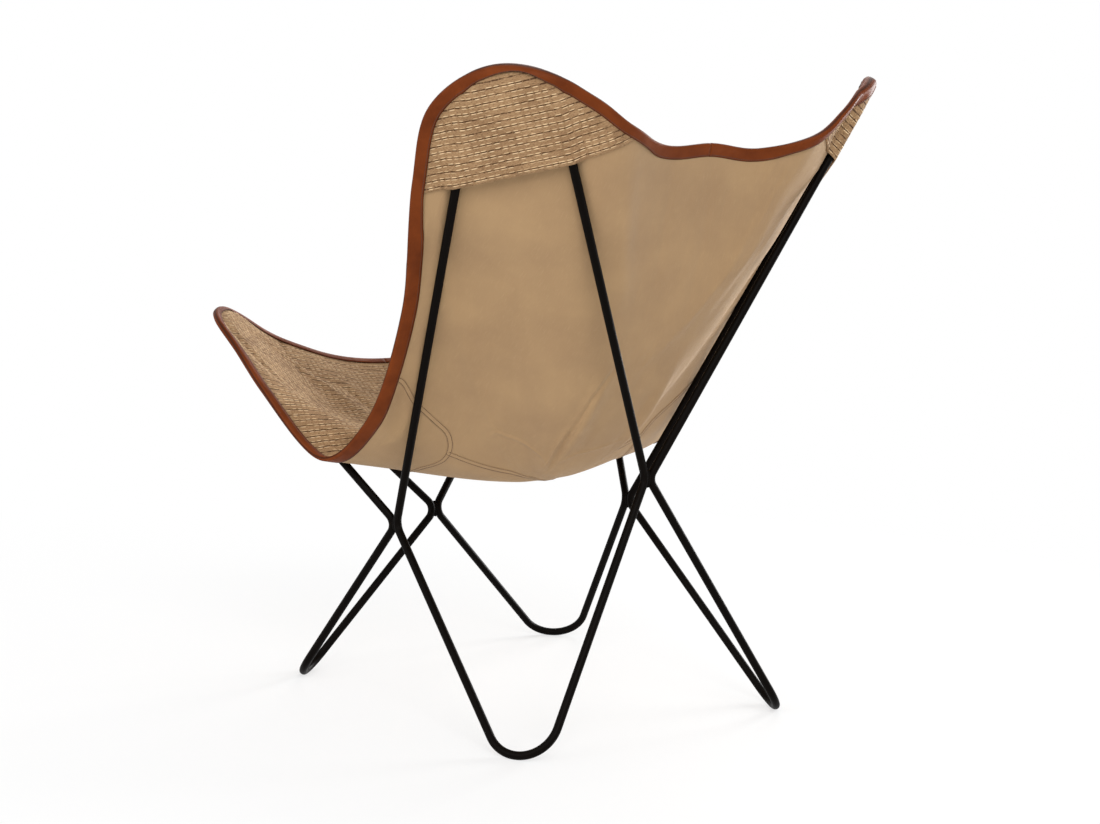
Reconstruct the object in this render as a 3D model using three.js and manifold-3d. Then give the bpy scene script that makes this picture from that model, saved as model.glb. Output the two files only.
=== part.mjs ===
import * as THREE from 'three';
import { mergeVertices } from 'three/addons/utils/BufferGeometryUtils.js';
import Module from 'manifold-3d';

// Butterfly sling chair: four closed loops of bent rod carry a sling of woven cloth with a canvas lining,
// a leather binding round its edge and a pocket at each of its four ears.
// Millimetres, +Z up. The sitter faces -Y, so the sitter's left is +X. The left half is worked out and
// the right half is its mirror image.

// Rod frame
const rodDiameter = 12;
const weldGap = 1;
const footWear = 0.5;
const kinkRadius = 20;
const footRadius = 52;
const sideJointOut = 229;
const sideJointUp = 268;
const rearJointBack = 294;
const rearJointUp = 365;
const frontJointAhead = 211;
const frontJointUp = 237;

// Each arch: where its two straight legs would meet above it, and the radius that it is bent to
const rearApexOut = 407;
const rearApexBack = 438;
const rearApexUp = 1142;
const rearArchRadius = 59;
const frontApexOut = 447;
const frontApexAhead = 409;
const frontApexUp = 691;
const frontArchRadius = 65;

// Each foot: where its two straight legs would meet below the floor, seen from above
const rearFootOut = 271;
const rearFootBack = 382;
const frontFootOut = 296;
const frontFootAhead = 217;

// Weld beads between neighbouring rods
const weldLength = 26;
const weldWidth = 10;

// How far a cutting block reaches past what it cuts
const overrun = 500;

// Sling
const seatUp = 324;
const seatBack = 50;
const clothThickness = 2;
const liningThickness = 1;
const leatherThickness = 1.4;
const clearance = 0.3;
const seamGap = 0.6;
const bindingOuterWidth = 20;
const bindingInnerWidth = 10;
const bindingRoom = 1;
const bindingClearance = 0.8;
const earHold = 130;
const backCreaseDepth = 5;
const earRidgeDepth = 6;
const wingRidgeHeight = 5;
const wingCreaseDepth = 4;

// How far the sling's edge stands past the rod at three places of each ear
const rearInnerOverhang = 17;
const rearTipOverhang = 7;
const rearOuterOverhang = 44;
const frontInnerOverhang = 30;
const frontTipOverhang = 12;
const frontOuterOverhang = 27;

// Pockets: how far below the arch their mouths lie, how much these tilt, in degrees, and the width over
// which a pocket closes beside the rods
const rearPocketDepth = 143;
const rearPocketTilt = 15;
const frontPocketDepth = 130;
const frontPocketTilt = 12;
const rodMargin = 18;
const rodEase = 30;
const pocketSlack = 1.5;

// Places along the edge, counted in its points, between which each pocket lies
const rearPocketPlaces = [1.67, 6];
const frontPocketPlaces = [10, 14.33];
const cornerShare = 0.75;

// Main folds of the sling: each runs straight between two points of its surface, given as the share of the
// way out and the place along the edge, and is raised towards the sitter, or sunk where its height is negative
const folds = [
  { fromShare: 0.2, toShare: 0.72, fromPlace: 2.5, toPlace: 0.6, placesWide: 0.7, height: -backCreaseDepth },
  { fromShare: 0.68, toShare: 1.02, fromPlace: 0.95, toPlace: 2.4, placesWide: 0.55, height: -earRidgeDepth },
  { fromShare: 0.66, toShare: 1.04, fromPlace: 13.6, toPlace: 11.6, placesWide: 0.6, height: wingRidgeHeight },
  { fromShare: 0.5, toShare: 0.94, fromPlace: 14.1, toPlace: 13.5, placesWide: 0.5, height: -wingCreaseDepth },
];

// Counts
const rodSides = 10;
const beadSides = 8;
const archSteps = 14;
const footSteps = 10;
const kinkSteps = 6;
const columnsPerPoint = 3;
const solveRounds = 12;
const sheetRingShares = [0.22, 0.42, 0.6, 0.8];
const pocketRingShares = [0.78, 0.86, 0.93];

// Seams in plan: outlines of the left wing and of the back
const wingShares = [
  [1.9, 0.265], [1.28, 0.248], [1, 0.234], [0.865, 0.22], [0.812, 0.19], [0.803, 0.15], [0.83, 0.1],
  [0.87, 0.05], [0.93, -0.3], [0.96, -0.65], [0.93, -1], [0.87, -1.4], [1.9, -1.4],
];
const backShares = [
  [1.9, 0.174], [1.9, 1.5], [-1.9, 1.5], [-1.9, 0.174], [-0.81, 0.174], [0, 0.19], [0.81, 0.174],
];

const rodRadius = rodDiameter / 2;
const halfTurn = Math.PI;

function point(x, y, z) {
  return new THREE.Vector3(x, y, z);
}

function direction(from, to) {
  return to.clone().sub(from).normalize();
}

function mirrored(vector) {
  return point(-vector.x, vector.y, vector.z);
}

// Bend at a corner whose straight runs lead to the points before and after it
function bendAt(corner, before, after, radius) {
  const toBefore = direction(corner, before);
  const toAfter = direction(corner, after);
  const inward = toBefore.clone().add(toAfter).normalize();
  const halfAngle = toBefore.angleTo(toAfter) / 2;
  const centre = corner.clone().addScaledVector(inward, radius / Math.sin(halfAngle));
  const plane = toBefore.clone().cross(toAfter).normalize();
  return { centre, inward, toBefore, toAfter, radius, plane, turn: halfTurn - 2 * halfAngle };
}

// Stations along a bend, each with the rod's middle and its direction there
function bendStations(bend, steps) {
  const stations = [];
  for (let step = 0; step <= steps; step += 1) {
    const angle = (1 / 2 - step / steps) * bend.turn;
    const spoke = bend.inward.clone().negate().applyAxisAngle(bend.plane, angle);
    const middle = bend.centre.clone().addScaledVector(spoke, bend.radius);
    stations.push({ middle, along: spoke.clone().cross(bend.plane) });
  }
  return stations;
}

// Corner of a bend whose apex has to lie at a given point
function cornerForApex(apex, before, after, radius) {
  let corner = apex.clone();
  for (let round = 0; round < solveRounds; round += 1) {
    const bend = bendAt(corner, before, after, radius);
    const bendApex = bend.centre.clone().addScaledVector(bend.inward, -radius);
    corner.add(apex).sub(bendApex);
  }
  return corner;
}

// Corner heights below the floor are found so that the bend's underside is worn flat on the floor
function footOnFloor(corner, before, after) {
  const bend = bendAt(corner, before, after, footRadius);
  const lowest = bend.centre.z - footRadius * Math.sqrt(1 - bend.plane.z ** 2);
  return point(corner.x, corner.y, corner.z + rodRadius - footWear - lowest);
}

// One loop: arch, side kink, foot and middle kink, in the order in which the rod runs
function solveLoop(arch, sideApex, foot, middleApex, archRadius) {
  let side = sideApex.clone();
  let middle = middleApex.clone();
  let floorCorner = foot.clone();
  for (let round = 0; round < solveRounds; round += 1) {
    side = cornerForApex(sideApex, arch, floorCorner, kinkRadius);
    middle = cornerForApex(middleApex, floorCorner, arch, kinkRadius);
    floorCorner = footOnFloor(floorCorner, side, middle);
  }
  const archBend = bendAt(arch, middle, side, archRadius);
  const sideBend = bendAt(side, arch, floorCorner, kinkRadius);
  const middleBend = bendAt(middle, floorCorner, arch, kinkRadius);
  const stations = [
    ...bendStations(archBend, archSteps),
    ...bendStations(sideBend, kinkSteps),
    ...bendStations(bendAt(floorCorner, side, middle, footRadius), footSteps),
    ...bendStations(middleBend, kinkSteps),
  ];
  return { side, middle, archBend, sideBend, middleBend, stations };
}

const sideHalfStep = (rodDiameter + weldGap) / 2;
const rearLoop = solveLoop(
  point(rearApexOut, rearApexBack, rearApexUp),
  point(sideJointOut, sideHalfStep, sideJointUp),
  point(rearFootOut, rearFootBack, 0),
  point(sideHalfStep, rearJointBack, rearJointUp),
  rearArchRadius,
);
const frontLoop = solveLoop(
  point(frontApexOut, -frontApexAhead, frontApexUp),
  point(sideJointOut, -sideHalfStep, sideJointUp),
  point(frontFootOut, -frontFootAhead, 0),
  point(sideHalfStep, -frontJointAhead, frontJointUp),
  frontArchRadius,
);

// Closed curve through the stations of a loop
class RodCurve extends THREE.Curve {
  constructor(stations) {
    super();
    this.stations = stations;
  }

  stationAt(share) {
    return this.stations[Math.round(share * this.stations.length) % this.stations.length];
  }

  getPointAt(share) {
    return this.stationAt(share).middle.clone();
  }

  getTangentAt(share) {
    return this.stationAt(share).along.clone();
  }
}

function mirroredStations(stations) {
  return stations.map(({ middle, along }) => ({ middle: mirrored(middle), along: mirrored(along) }));
}

function rodGeometry(stations, radius) {
  return new THREE.TubeGeometry(new RodCurve(stations), stations.length, radius, rodSides, true);
}

// Solids for joining and cutting
const wasm = await Module();
wasm.setup();

function solidOf(geometry) {
  const bare = geometry.clone();
  bare.deleteAttribute('normal');
  bare.deleteAttribute('uv');
  const merged = mergeVertices(bare);
  return new wasm.Manifold(new wasm.Mesh({
    numProp: 3,
    vertProperties: new Float32Array(merged.attributes.position.array),
    triVerts: new Uint32Array(merged.index.array),
  }));
}

function geometryOf(solid) {
  const mesh = solid.getMesh();
  const geometry = new THREE.BufferGeometry();
  geometry.setAttribute('position', new THREE.BufferAttribute(mesh.vertProperties, 3));
  geometry.setIndex(new THREE.BufferAttribute(mesh.triVerts, 1));
  geometry.computeVertexNormals();
  return geometry;
}

// Rod loops, with the underside of each foot worn flat at floor level
function rodLoop(stations) {
  const reach = 2 * rearFootBack + overrun;
  const ground = new THREE.BoxGeometry(reach, reach, rodDiameter).translate(0, 0, -rodRadius);
  return geometryOf(solidOf(rodGeometry(stations, rodRadius)).subtract(solidOf(ground)));
}

// Direction of the rod at the middle of a bend, turned upwards
function upwardAt(bend) {
  const along = bend.toAfter.clone().sub(bend.toBefore).normalize();
  return along.z < 0 ? along.negate() : along;
}

// Weld bead in the grooves and the crotches of two rods whose bends kiss at a point, along both rods
function weldBead(centre, firstBend, secondBend, firstStations, secondStations) {
  const bead = new THREE.SphereGeometry(1, beadSides, beadSides);
  bead.scale(weldWidth / 2, weldLength / 2, weldWidth / 2);
  const along = upwardAt(firstBend).add(upwardAt(secondBend)).normalize();
  bead.applyQuaternion(new THREE.Quaternion().setFromUnitVectors(point(0, 1, 0), along));
  bead.translate(centre.x, centre.y, centre.z);
  const first = solidOf(rodGeometry(firstStations, rodRadius + clearance));
  const second = solidOf(rodGeometry(secondStations, rodRadius + clearance));
  return geometryOf(solidOf(bead).subtract(first).subtract(second));
}

// Ear of the sling, laid on the plane of an arch, on the sitter's side of the rods
function earPlane(loop) {
  const { archBend } = loop;
  const upward = archBend.inward.clone().negate();
  const towardSitter = archBend.plane.clone();
  if (towardSitter.z < 0) {
    towardSitter.negate();
  }
  const toSide = direction(loop.middle, loop.side);
  toSide.addScaledVector(upward, -toSide.dot(upward)).normalize();
  return {
    centre: archBend.centre, radius: archBend.radius, turn: archBend.turn, upward, towardSitter, toSide,
  };
}

const earLift = rodRadius + clearance + liningThickness + clearance;
const rearEar = earPlane(rearLoop);
const frontEar = earPlane(frontLoop);

function earPoint(ear, degrees, overhang) {
  const angle = THREE.MathUtils.degToRad(degrees);
  const reach = ear.radius + rodRadius + overhang;
  return ear.centre.clone()
    .addScaledVector(ear.upward, reach * Math.cos(angle))
    .addScaledVector(ear.toSide, reach * Math.sin(angle))
    .addScaledVector(ear.towardSitter, earLift);
}

function archTop(ear) {
  return ear.centre.clone().addScaledVector(ear.upward, ear.radius);
}

function inShares(of, xShare, yShare, zShare) {
  return point(of.x * xShare, of.y * yShare, of.z * zShare);
}

// Edge of the sling from the middle of the back, round the left side, to the middle of the front.
// Fullness shares say how far the cloth bellies out on its way from the seat to the edge, and hold shares
// how far an ear keeps the cloth in the plane of its arch.
const rearTop = archTop(rearEar);
const frontTop = archTop(frontEar);
const sideRear = point(sideJointOut, rearTop.y, seatUp);
const sideFront = point(sideJointOut, frontTop.y, seatUp);
const edgePoints = [
  { at: inShares(rearTop, 0, 1.068, 0.910), fullnessShare: 0.55, holdShare: 0 },
  { at: inShares(rearTop, 0.293, 1.084, 0.907), fullnessShare: 0.52, holdShare: 0 },
  { at: inShares(rearTop, 0.496, 1.166, 0.930), fullnessShare: 0.40, holdShare: 0.5 },
  { at: earPoint(rearEar, -52, rearInnerOverhang), fullnessShare: 0.34, holdShare: 1 },
  { at: earPoint(rearEar, 26, rearTipOverhang), fullnessShare: 0.3, holdShare: 1 },
  { at: earPoint(rearEar, 85, rearOuterOverhang), fullnessShare: 0.32, holdShare: 1 },
  { at: inShares(rearTop, 1.151, 0.608, 0.837), fullnessShare: 0.31, holdShare: 1 },
  { at: inShares(rearTop, 0.998, 0.385, 0.648), fullnessShare: 0.34, holdShare: 0.3 },
  { at: inShares(sideRear, 1.376, 0.110, 1.315), fullnessShare: 0.5, holdShare: 0 },
  { at: inShares(sideFront, 1.428, 0.168, 1.114), fullnessShare: 0.5, holdShare: 0 },
  { at: inShares(frontTop, 1.119, 0.468, 0.847), fullnessShare: 0.42, holdShare: 0 },
  { at: earPoint(frontEar, 45, frontOuterOverhang), fullnessShare: 0.38, holdShare: 1 },
  { at: earPoint(frontEar, -8, frontTipOverhang), fullnessShare: 0.36, holdShare: 1 },
  { at: earPoint(frontEar, -60, frontInnerOverhang), fullnessShare: 0.4, holdShare: 1 },
  { at: inShares(frontTop, 0.400, 1.198, 0.878), fullnessShare: 0.5, holdShare: 0 },
  { at: inShares(frontTop, 0, 1.206, 0.844), fullnessShare: 0.5, holdShare: 0 },
];
const lastPoint = edgePoints.length - 1;
const roundPoints = [...edgePoints, ...edgePoints.slice(1, lastPoint).reverse().map((entry) => (
  { ...entry, at: mirrored(entry.at) }
))];
const edgeCurve = new THREE.CatmullRomCurve3(roundPoints.map(({ at }) => at), true, 'centripetal');
const shapeCurve = new THREE.CatmullRomCurve3(
  roundPoints.map(({ fullnessShare, holdShare }) => point(fullnessShare, holdShare, 0)), true, 'catmullrom');
const seatMiddle = point(0, seatBack, seatUp);

function smoothShare(value) {
  const share = THREE.MathUtils.clamp(value, 0, 1);
  return share * share * (3 - 2 * share);
}

function earFor(place) {
  return place < lastPoint / 2 + 1 ? rearEar : frontEar;
}

// How near a point of an ear is to its rods: 1 over and between them, falling to 0 well beside them
function rodNearness(vector, ear) {
  const spoke = vector.clone().sub(ear.centre);
  const along = spoke.dot(ear.upward);
  const across = Math.abs(spoke.dot(ear.toSide));
  const halfAngle = (halfTurn - ear.turn) / 2;
  const beside = along > across * Math.tan(halfAngle)
    ? Math.hypot(along, across) - ear.radius
    : across * Math.cos(halfAngle) + along * Math.sin(halfAngle) - ear.radius;
  return 1 - smoothShare((beside - rodMargin) / rodEase);
}

// Height of the folds at a point of the sling
function foldHeight(out, place) {
  return folds.reduce((sum, { fromShare, toShare, fromPlace, toPlace, placesWide, height }) => {
    const along = (out - fromShare) / (toShare - fromShare);
    const across = Math.abs(place - THREE.MathUtils.lerp(fromPlace, toPlace, along)) / placesWide;
    const ends = smoothShare(1 - Math.abs(2 * along - 1));
    return sum + height * ends * smoothShare(1 - across);
  }, 0);
}

// Sling surface between lining and cloth: out is 0 at the seat and 1 at the edge, and place counts the
// points of the edge from the middle of the back
function slingPoint(out, place) {
  const count = roundPoints.length;
  const wrapped = ((place % count) + count) % count;
  const onRight = wrapped > lastPoint;
  const leftPlace = onRight ? count - wrapped : wrapped;
  const rim = edgeCurve.getPoint(leftPlace / count);
  const shape = shapeCurve.getPoint(leftPlace / count);
  const belly = seatMiddle.clone().add(point(rim.x, rim.y - seatBack, 0).multiplyScalar(shape.x));
  const result = seatMiddle.clone().multiplyScalar((1 - out) ** 2)
    .addScaledVector(belly, 2 * out * (1 - out))
    .addScaledVector(rim, out ** 2);
  const ear = earFor(leftPlace);
  result.addScaledVector(ear.towardSitter, foldHeight(out, leftPlace));
  const lift = result.clone().sub(ear.centre).dot(ear.towardSitter);
  const below = ear.centre.clone().sub(result).dot(ear.upward);
  const held = smoothShare(2 - below / earHold) * THREE.MathUtils.clamp(shape.y, 0, 1);
  const pressed = lift < earLift ? Math.max(held, rodNearness(result, ear)) : held;
  result.addScaledVector(ear.towardSitter, (earLift - lift) * pressed);
  return onRight ? mirrored(result) : result;
}

const smallStep = 0.01;

function slingNormal(out, place) {
  if (out === 0) {
    return point(0, 0, 1);
  }
  const round = slingPoint(out, place + smallStep).sub(slingPoint(out, place - smallStep));
  const outward = slingPoint(out, place).sub(slingPoint(out - smallStep, place));
  return round.cross(outward).normalize();
}

function slingOffset(out, place, offset) {
  return slingPoint(out, place).addScaledVector(slingNormal(out, place), offset);
}

// Shares of the way out at which a sheet has its rings, seen from the seat: even ones up to the binding,
// then one at the binding's inner edge and one at the sheet's own edge
function ringOuts(place, innerShares) {
  const length = slingPoint(1, place).distanceTo(slingPoint(1 - smallStep, place)) / smallStep;
  const edgeOut = 1 - bindingRoom / length;
  const bandOut = 1 - (bindingRoom + bindingOuterWidth) / length;
  return [...innerShares.map((share) => share * bandOut), bandOut, edgeOut];
}

// Mesh of four-sided faces, in which a face with two equal corners is a triangle
function quadGeometry(positions, faces) {
  const indices = [];
  faces.forEach(([a, b, c, d]) => {
    if (a !== b && b !== c && a !== c) {
      indices.push(a, b, c);
    }
    if (a !== c && c !== d && a !== d) {
      indices.push(a, c, d);
    }
  });
  const geometry = new THREE.BufferGeometry();
  geometry.setAttribute('position', new THREE.Float32BufferAttribute(positions, 3));
  geometry.setIndex(indices);
  geometry.computeVertexNormals();
  return geometry;
}

// Closed shell round the whole sling between two offsets of its surface
function roundShell(low, high) {
  const columns = roundPoints.length * columnsPerPoint;
  const rings = sheetRingShares.length + 2;
  const positions = [];
  const faces = [];
  [high, low].forEach((offset, layer) => {
    const first = positions.length / 3;
    positions.push(...slingOffset(0, 0, offset).toArray());
    for (let column = 0; column < columns; column += 1) {
      const place = column / columnsPerPoint;
      ringOuts(place, sheetRingShares).forEach((out) => {
        positions.push(...slingOffset(out, place, offset).toArray());
      });
    }
    const vertex = (ring, column) => (ring === 0 ? first : first + ring + (column % columns) * rings);
    for (let column = 0; column < columns; column += 1) {
      for (let ring = 0; ring < rings; ring += 1) {
        const corners = [vertex(ring, column), vertex(ring, column + 1),
          vertex(ring + 1, column + 1), vertex(ring + 1, column)];
        const started = column < columns / 2 ? corners : [...corners.slice(1), corners[0]];
        faces.push(layer === 0 ? started : [started[0], started[3], started[2], started[1]]);
      }
    }
  });
  const perLayer = positions.length / 6;
  for (let column = 0; column < columns; column += 1) {
    const here = rings + column * rings;
    const next = rings + ((column + 1) % columns) * rings;
    faces.push([here, next, next + perLayer, here + perLayer]);
  }
  return quadGeometry(positions, faces);
}

// Closed bar through sections of points that run round the same way, with flat ends. Each face is split
// from the seat's side to the edge's, as the sheets' faces are, so the sides that run back are named
function sectionBar(sections, backwardSides) {
  const size = sections[0].length;
  const faces = [];
  const last = (sections.length - 1) * size;
  sections.slice(1).forEach((unused, index) => {
    for (let corner = 0; corner < size; corner += 1) {
      const next = (corner + 1) % size;
      const near = index * size;
      const face = [near + corner, near + next, near + size + next, near + size + corner];
      faces.push(backwardSides.includes(corner) ? [...face.slice(1), face[0]] : face);
    }
  });
  for (let corner = 1; corner < size / 2; corner += 1) {
    const across = size - corner;
    faces.push([corner, corner - 1, across % size, across - 1]);
    faces.push([last + corner - 1, last + corner, last + across - 1, last + across % size]);
  }
  return quadGeometry(sections.flat().flatMap((vector) => vector.toArray()), faces);
}

const liningUnder = clearance / 2 + liningThickness;
const clothOver = clearance / 2 + clothThickness;

// Distance from the sling surface down to the pocket's inner face: close under the lining beside the rods
// and clear under the rods between them
function pocketDepth(out, place) {
  const ear = earFor(place);
  const here = slingPoint(out, place);
  const closed = liningUnder + clearance;
  const open = here.clone().sub(ear.centre).dot(ear.towardSitter) + rodRadius + pocketSlack;
  return closed + (open - closed) * rodNearness(here, ear);
}

// Direction in which the pocket's depth is measured: square to the arch where the pocket is open
function pocketUp(out, place) {
  const ear = earFor(place);
  const nearness = rodNearness(slingPoint(out, place), ear);
  return slingNormal(out, place).lerp(ear.towardSitter, nearness).normalize();
}

function pocketPoint(out, place, below) {
  return slingPoint(out, place).addScaledVector(pocketUp(out, place), -pocketDepth(out, place) - below);
}

// Pocket cloth behind one ear, before its mouth is cut straight
function pocketSheet([fromPlace, toPlace]) {
  const sections = [];
  for (let step = 0; step <= (toPlace - fromPlace) * columnsPerPoint; step += 1) {
    const place = fromPlace + step / columnsPerPoint;
    const outs = ringOuts(place, pocketRingShares);
    const near = outs.map((out) => pocketPoint(out, place, 0));
    const far = outs.map((out) => pocketPoint(out, place, clothThickness));
    sections.push([...far, ...near.reverse()]);
  }
  const size = sections[0].length;
  return sectionBar(sections, sections[0].map((unused, corner) => corner).slice(size / 2, size - 1));
}

// Block that holds everything on the arch's side of a pocket's mouth
function mouthBlock(ear, depth, tiltDegrees) {
  const reach = ear.radius + depth + overrun;
  const slope = Math.tan(THREE.MathUtils.degToRad(tiltDegrees));
  const middle = ear.radius - depth;
  const outline = new THREE.Shape();
  outline.moveTo(-reach, middle + slope * reach);
  outline.lineTo(reach, middle - slope * reach);
  outline.lineTo(reach, reach);
  outline.lineTo(-reach, reach);
  const block = new THREE.ExtrudeGeometry(outline, { depth: reach, bevelEnabled: false });
  block.translate(0, 0, -reach / 2);
  const across = ear.toSide.clone().cross(ear.upward);
  block.applyMatrix4(new THREE.Matrix4().makeBasis(ear.toSide, ear.upward, across));
  block.translate(ear.centre.x, ear.centre.y, ear.centre.z);
  return solidOf(block);
}

function pocketGeometry(places, ear, depth, tiltDegrees) {
  return geometryOf(solidOf(pocketSheet(places)).intersect(mouthBlock(ear, depth, tiltDegrees)));
}

// Share of a pocket that the binding has to take in at a place: none between the ears, all along them
function pocketShare(place) {
  return [rearPocketPlaces, frontPocketPlaces].reduce((share, [from, to]) => {
    const rise = smoothShare((place - from) * columnsPerPoint + 1);
    const fall = smoothShare((to - place) * columnsPerPoint + 1);
    return Math.max(share, Math.min(rise, fall));
  }, 0);
}

// Leather folded round the edge: a channel with a short flange on the cloth and a long one outside
function bindingSection(place) {
  const [bandOut, edgeOut] = ringOuts(place, []);
  const tip = slingPoint(bandOut, place);
  const edge = slingPoint(edgeOut, place);
  const tipUp = slingNormal(bandOut, place);
  const edgeUp = slingNormal(edgeOut, place);
  const outward = edge.clone().sub(tip).normalize();
  const fold = edge.clone().addScaledVector(outward, bindingRoom);
  const skin = fold.clone().addScaledVector(outward, leatherThickness);
  const corner = fold.clone().addScaledVector(outward, leatherThickness * cornerShare);
  const cornerRise = leatherThickness * cornerShare;
  const innerTip = edge.clone().addScaledVector(outward, -bindingInnerWidth);
  const innerUp = tipUp.clone().lerp(edgeUp, 1 - bindingInnerWidth / bindingOuterWidth).normalize();
  const share = pocketShare(place);
  const depthAt = (out) => {
    const plain = liningUnder + clearance;
    return plain + share * (pocketDepth(out, place) + clothThickness + clearance - plain);
  };
  const top = clothOver + bindingClearance;
  const tipDepth = depthAt(bandOut);
  const edgeDepth = depthAt(edgeOut);
  const at = (base, up, offset) => base.clone().addScaledVector(up, offset);
  const edgeUnder = edgeUp.clone().lerp(pocketUp(edgeOut, place), share).normalize();
  const tipUnder = tipUp.clone().lerp(pocketUp(bandOut, place), share).normalize();
  const inside = at(fold, edgeUp, top);
  const outside = at(corner, edgeUp, top + cornerRise);
  const insideUnder = at(fold, edgeUnder, -edgeDepth);
  const outsideUnder = at(corner, edgeUnder, -edgeDepth - cornerRise);
  return [
    at(innerTip, innerUp, top), inside, inside.clone().lerp(insideUnder, 1 / 2), insideUnder,
    at(tip, tipUnder, -tipDepth), at(tip, tipUnder, -tipDepth - leatherThickness), outsideUnder,
    at(skin, edgeUp, 0).add(at(skin, edgeUnder, top - edgeDepth)).multiplyScalar(1 / 2), outside,
    at(innerTip, innerUp, top + leatherThickness),
  ];
}

function bindingGeometry() {
  const sections = [];
  const steps = lastPoint * columnsPerPoint;
  for (let step = 0; step <= steps; step += 1) {
    sections.push(bindingSection(step / columnsPerPoint));
  }
  sections[0].forEach((corner) => corner.setX(seamGap / 2));
  sections[steps].forEach((corner) => corner.setX(seamGap / 2));
  return sectionBar(sections, [3, 8]);
}

function mirrorGeometry(geometry) {
  const turned = geometry.clone().scale(-1, 1, 1);
  const index = turned.index.array;
  for (let corner = 0; corner < index.length; corner += 3) {
    [index[corner], index[corner + 1]] = [index[corner + 1], index[corner]];
  }
  turned.computeVertexNormals();
  return turned;
}

// Upright block over an outline in plan. Its points are shares of the side joint's distance out and of
// the arches' distances back or ahead
function planBlock(outlineShares, shiftOut, shiftBack) {
  const outline = new THREE.Shape(outlineShares.map(([outShare, backShare]) => new THREE.Vector2(
    outShare * sideJointOut + shiftOut,
    backShare * (backShare > 0 ? rearTop.y : -frontTop.y) + shiftBack,
  )));
  return solidOf(new THREE.ExtrudeGeometry(outline, { depth: rearApexUp, bevelEnabled: false }));
}

function mirroredShares(shares) {
  return shares.map(([outShare, backShare]) => [-outShare, backShare]).reverse();
}

// Panels that a sheet is sewn together from: back, seat and two wings, with a narrow gap at each seam
function cutPanels(sheet) {
  const whole = solidOf(sheet);
  const leftWing = planBlock(wingShares, 0, 0);
  const rightWing = planBlock(mirroredShares(wingShares), 0, 0);
  const leftSeam = leftWing.add(planBlock(wingShares, -seamGap, seamGap));
  const rightSeam = rightWing.add(planBlock(mirroredShares(wingShares), seamGap, seamGap));
  const middle = whole.subtract(leftSeam).subtract(rightSeam);
  return {
    back: geometryOf(middle.intersect(planBlock(backShares, 0, 0))),
    seat: geometryOf(middle.subtract(planBlock(backShares, 0, -seamGap))),
    left_wing: geometryOf(whole.intersect(leftWing)),
    right_wing: geometryOf(whole.intersect(rightWing)),
  };
}

const materials = {
  rod: { color: 0x17171a, roughness: 0.45, metalness: 0.6 },
  cloth: { color: 0xa8875f, roughness: 0.9, metalness: 0 },
  canvas: { color: 0xa88c6c, roughness: 0.85, metalness: 0 },
  leather: { color: 0x783e1e, roughness: 0.55, metalness: 0 },
};
const chair = new THREE.Group();

function addPiece(name, geometry, material) {
  const mesh = new THREE.Mesh(geometry, new THREE.MeshStandardMaterial(materials[material]));
  mesh.name = name;
  chair.add(mesh);
}

const loops = {
  rear_left: rearLoop.stations,
  rear_right: mirroredStations(rearLoop.stations),
  front_left: frontLoop.stations,
  front_right: mirroredStations(frontLoop.stations),
};
Object.entries(loops).forEach(([name, stations]) => {
  addPiece(`${name}_rod_loop`, rodLoop(stations), 'rod');
});

function mirroredBend({ toBefore, toAfter }) {
  return { toBefore: mirrored(toBefore), toAfter: mirrored(toAfter) };
}

const rearKiss = point(0, rearJointBack, rearJointUp);
const frontKiss = point(0, -frontJointAhead, frontJointUp);
const leftKiss = point(sideJointOut, 0, sideJointUp);
const leftWeld = weldBead(leftKiss, rearLoop.sideBend, frontLoop.sideBend, loops.rear_left, loops.front_left);
addPiece('rear_weld', weldBead(
  rearKiss, rearLoop.middleBend, mirroredBend(rearLoop.middleBend), loops.rear_left, loops.rear_right), 'rod');
addPiece('front_weld', weldBead(
  frontKiss, frontLoop.middleBend, mirroredBend(frontLoop.middleBend), loops.front_left, loops.front_right), 'rod');
addPiece('left_weld', leftWeld, 'rod');
addPiece('right_weld', mirrorGeometry(leftWeld), 'rod');

Object.entries(cutPanels(roundShell(clearance / 2, clothOver))).forEach(([name, geometry]) => {
  addPiece(`woven_${name}`, geometry, 'cloth');
});
Object.entries(cutPanels(roundShell(-liningUnder, -clearance / 2))).forEach(([name, geometry]) => {
  addPiece(`lining_${name}`, geometry, 'canvas');
});

const pockets = {
  rear: pocketGeometry(rearPocketPlaces, rearEar, rearPocketDepth, rearPocketTilt),
  front: pocketGeometry(frontPocketPlaces, frontEar, frontPocketDepth, frontPocketTilt),
};
Object.entries(pockets).forEach(([name, geometry]) => {
  addPiece(`${name}_left_pocket`, geometry, 'cloth');
  addPiece(`${name}_right_pocket`, mirrorGeometry(geometry), 'cloth');
});

const leftBinding = bindingGeometry();
addPiece('left_leather_binding', leftBinding, 'leather');
addPiece('right_leather_binding', mirrorGeometry(leftBinding), 'leather');

// The origin lies on the floor, under the middle of the chair's box
const box = new THREE.Box3().setFromObject(chair);
chair.position.y = -(box.min.y + box.max.y) / 2;

export default chair;
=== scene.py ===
import math

import bmesh
import bpy
import numpy as np
from mathutils import Matrix, Vector
from mathutils.bvhtree import BVHTree


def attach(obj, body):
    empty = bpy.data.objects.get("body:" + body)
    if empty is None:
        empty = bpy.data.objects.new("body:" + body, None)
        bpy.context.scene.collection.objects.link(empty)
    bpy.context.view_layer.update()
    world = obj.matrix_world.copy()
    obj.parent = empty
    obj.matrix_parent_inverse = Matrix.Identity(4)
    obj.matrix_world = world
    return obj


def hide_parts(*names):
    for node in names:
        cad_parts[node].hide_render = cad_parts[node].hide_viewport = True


# Butterfly sling chair, in metres, +Z up. The sitter faces -Y, so the sitter's left is +X.
# Rods and sling are worked out round the side joints and then moved to the frame's origin.

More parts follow.
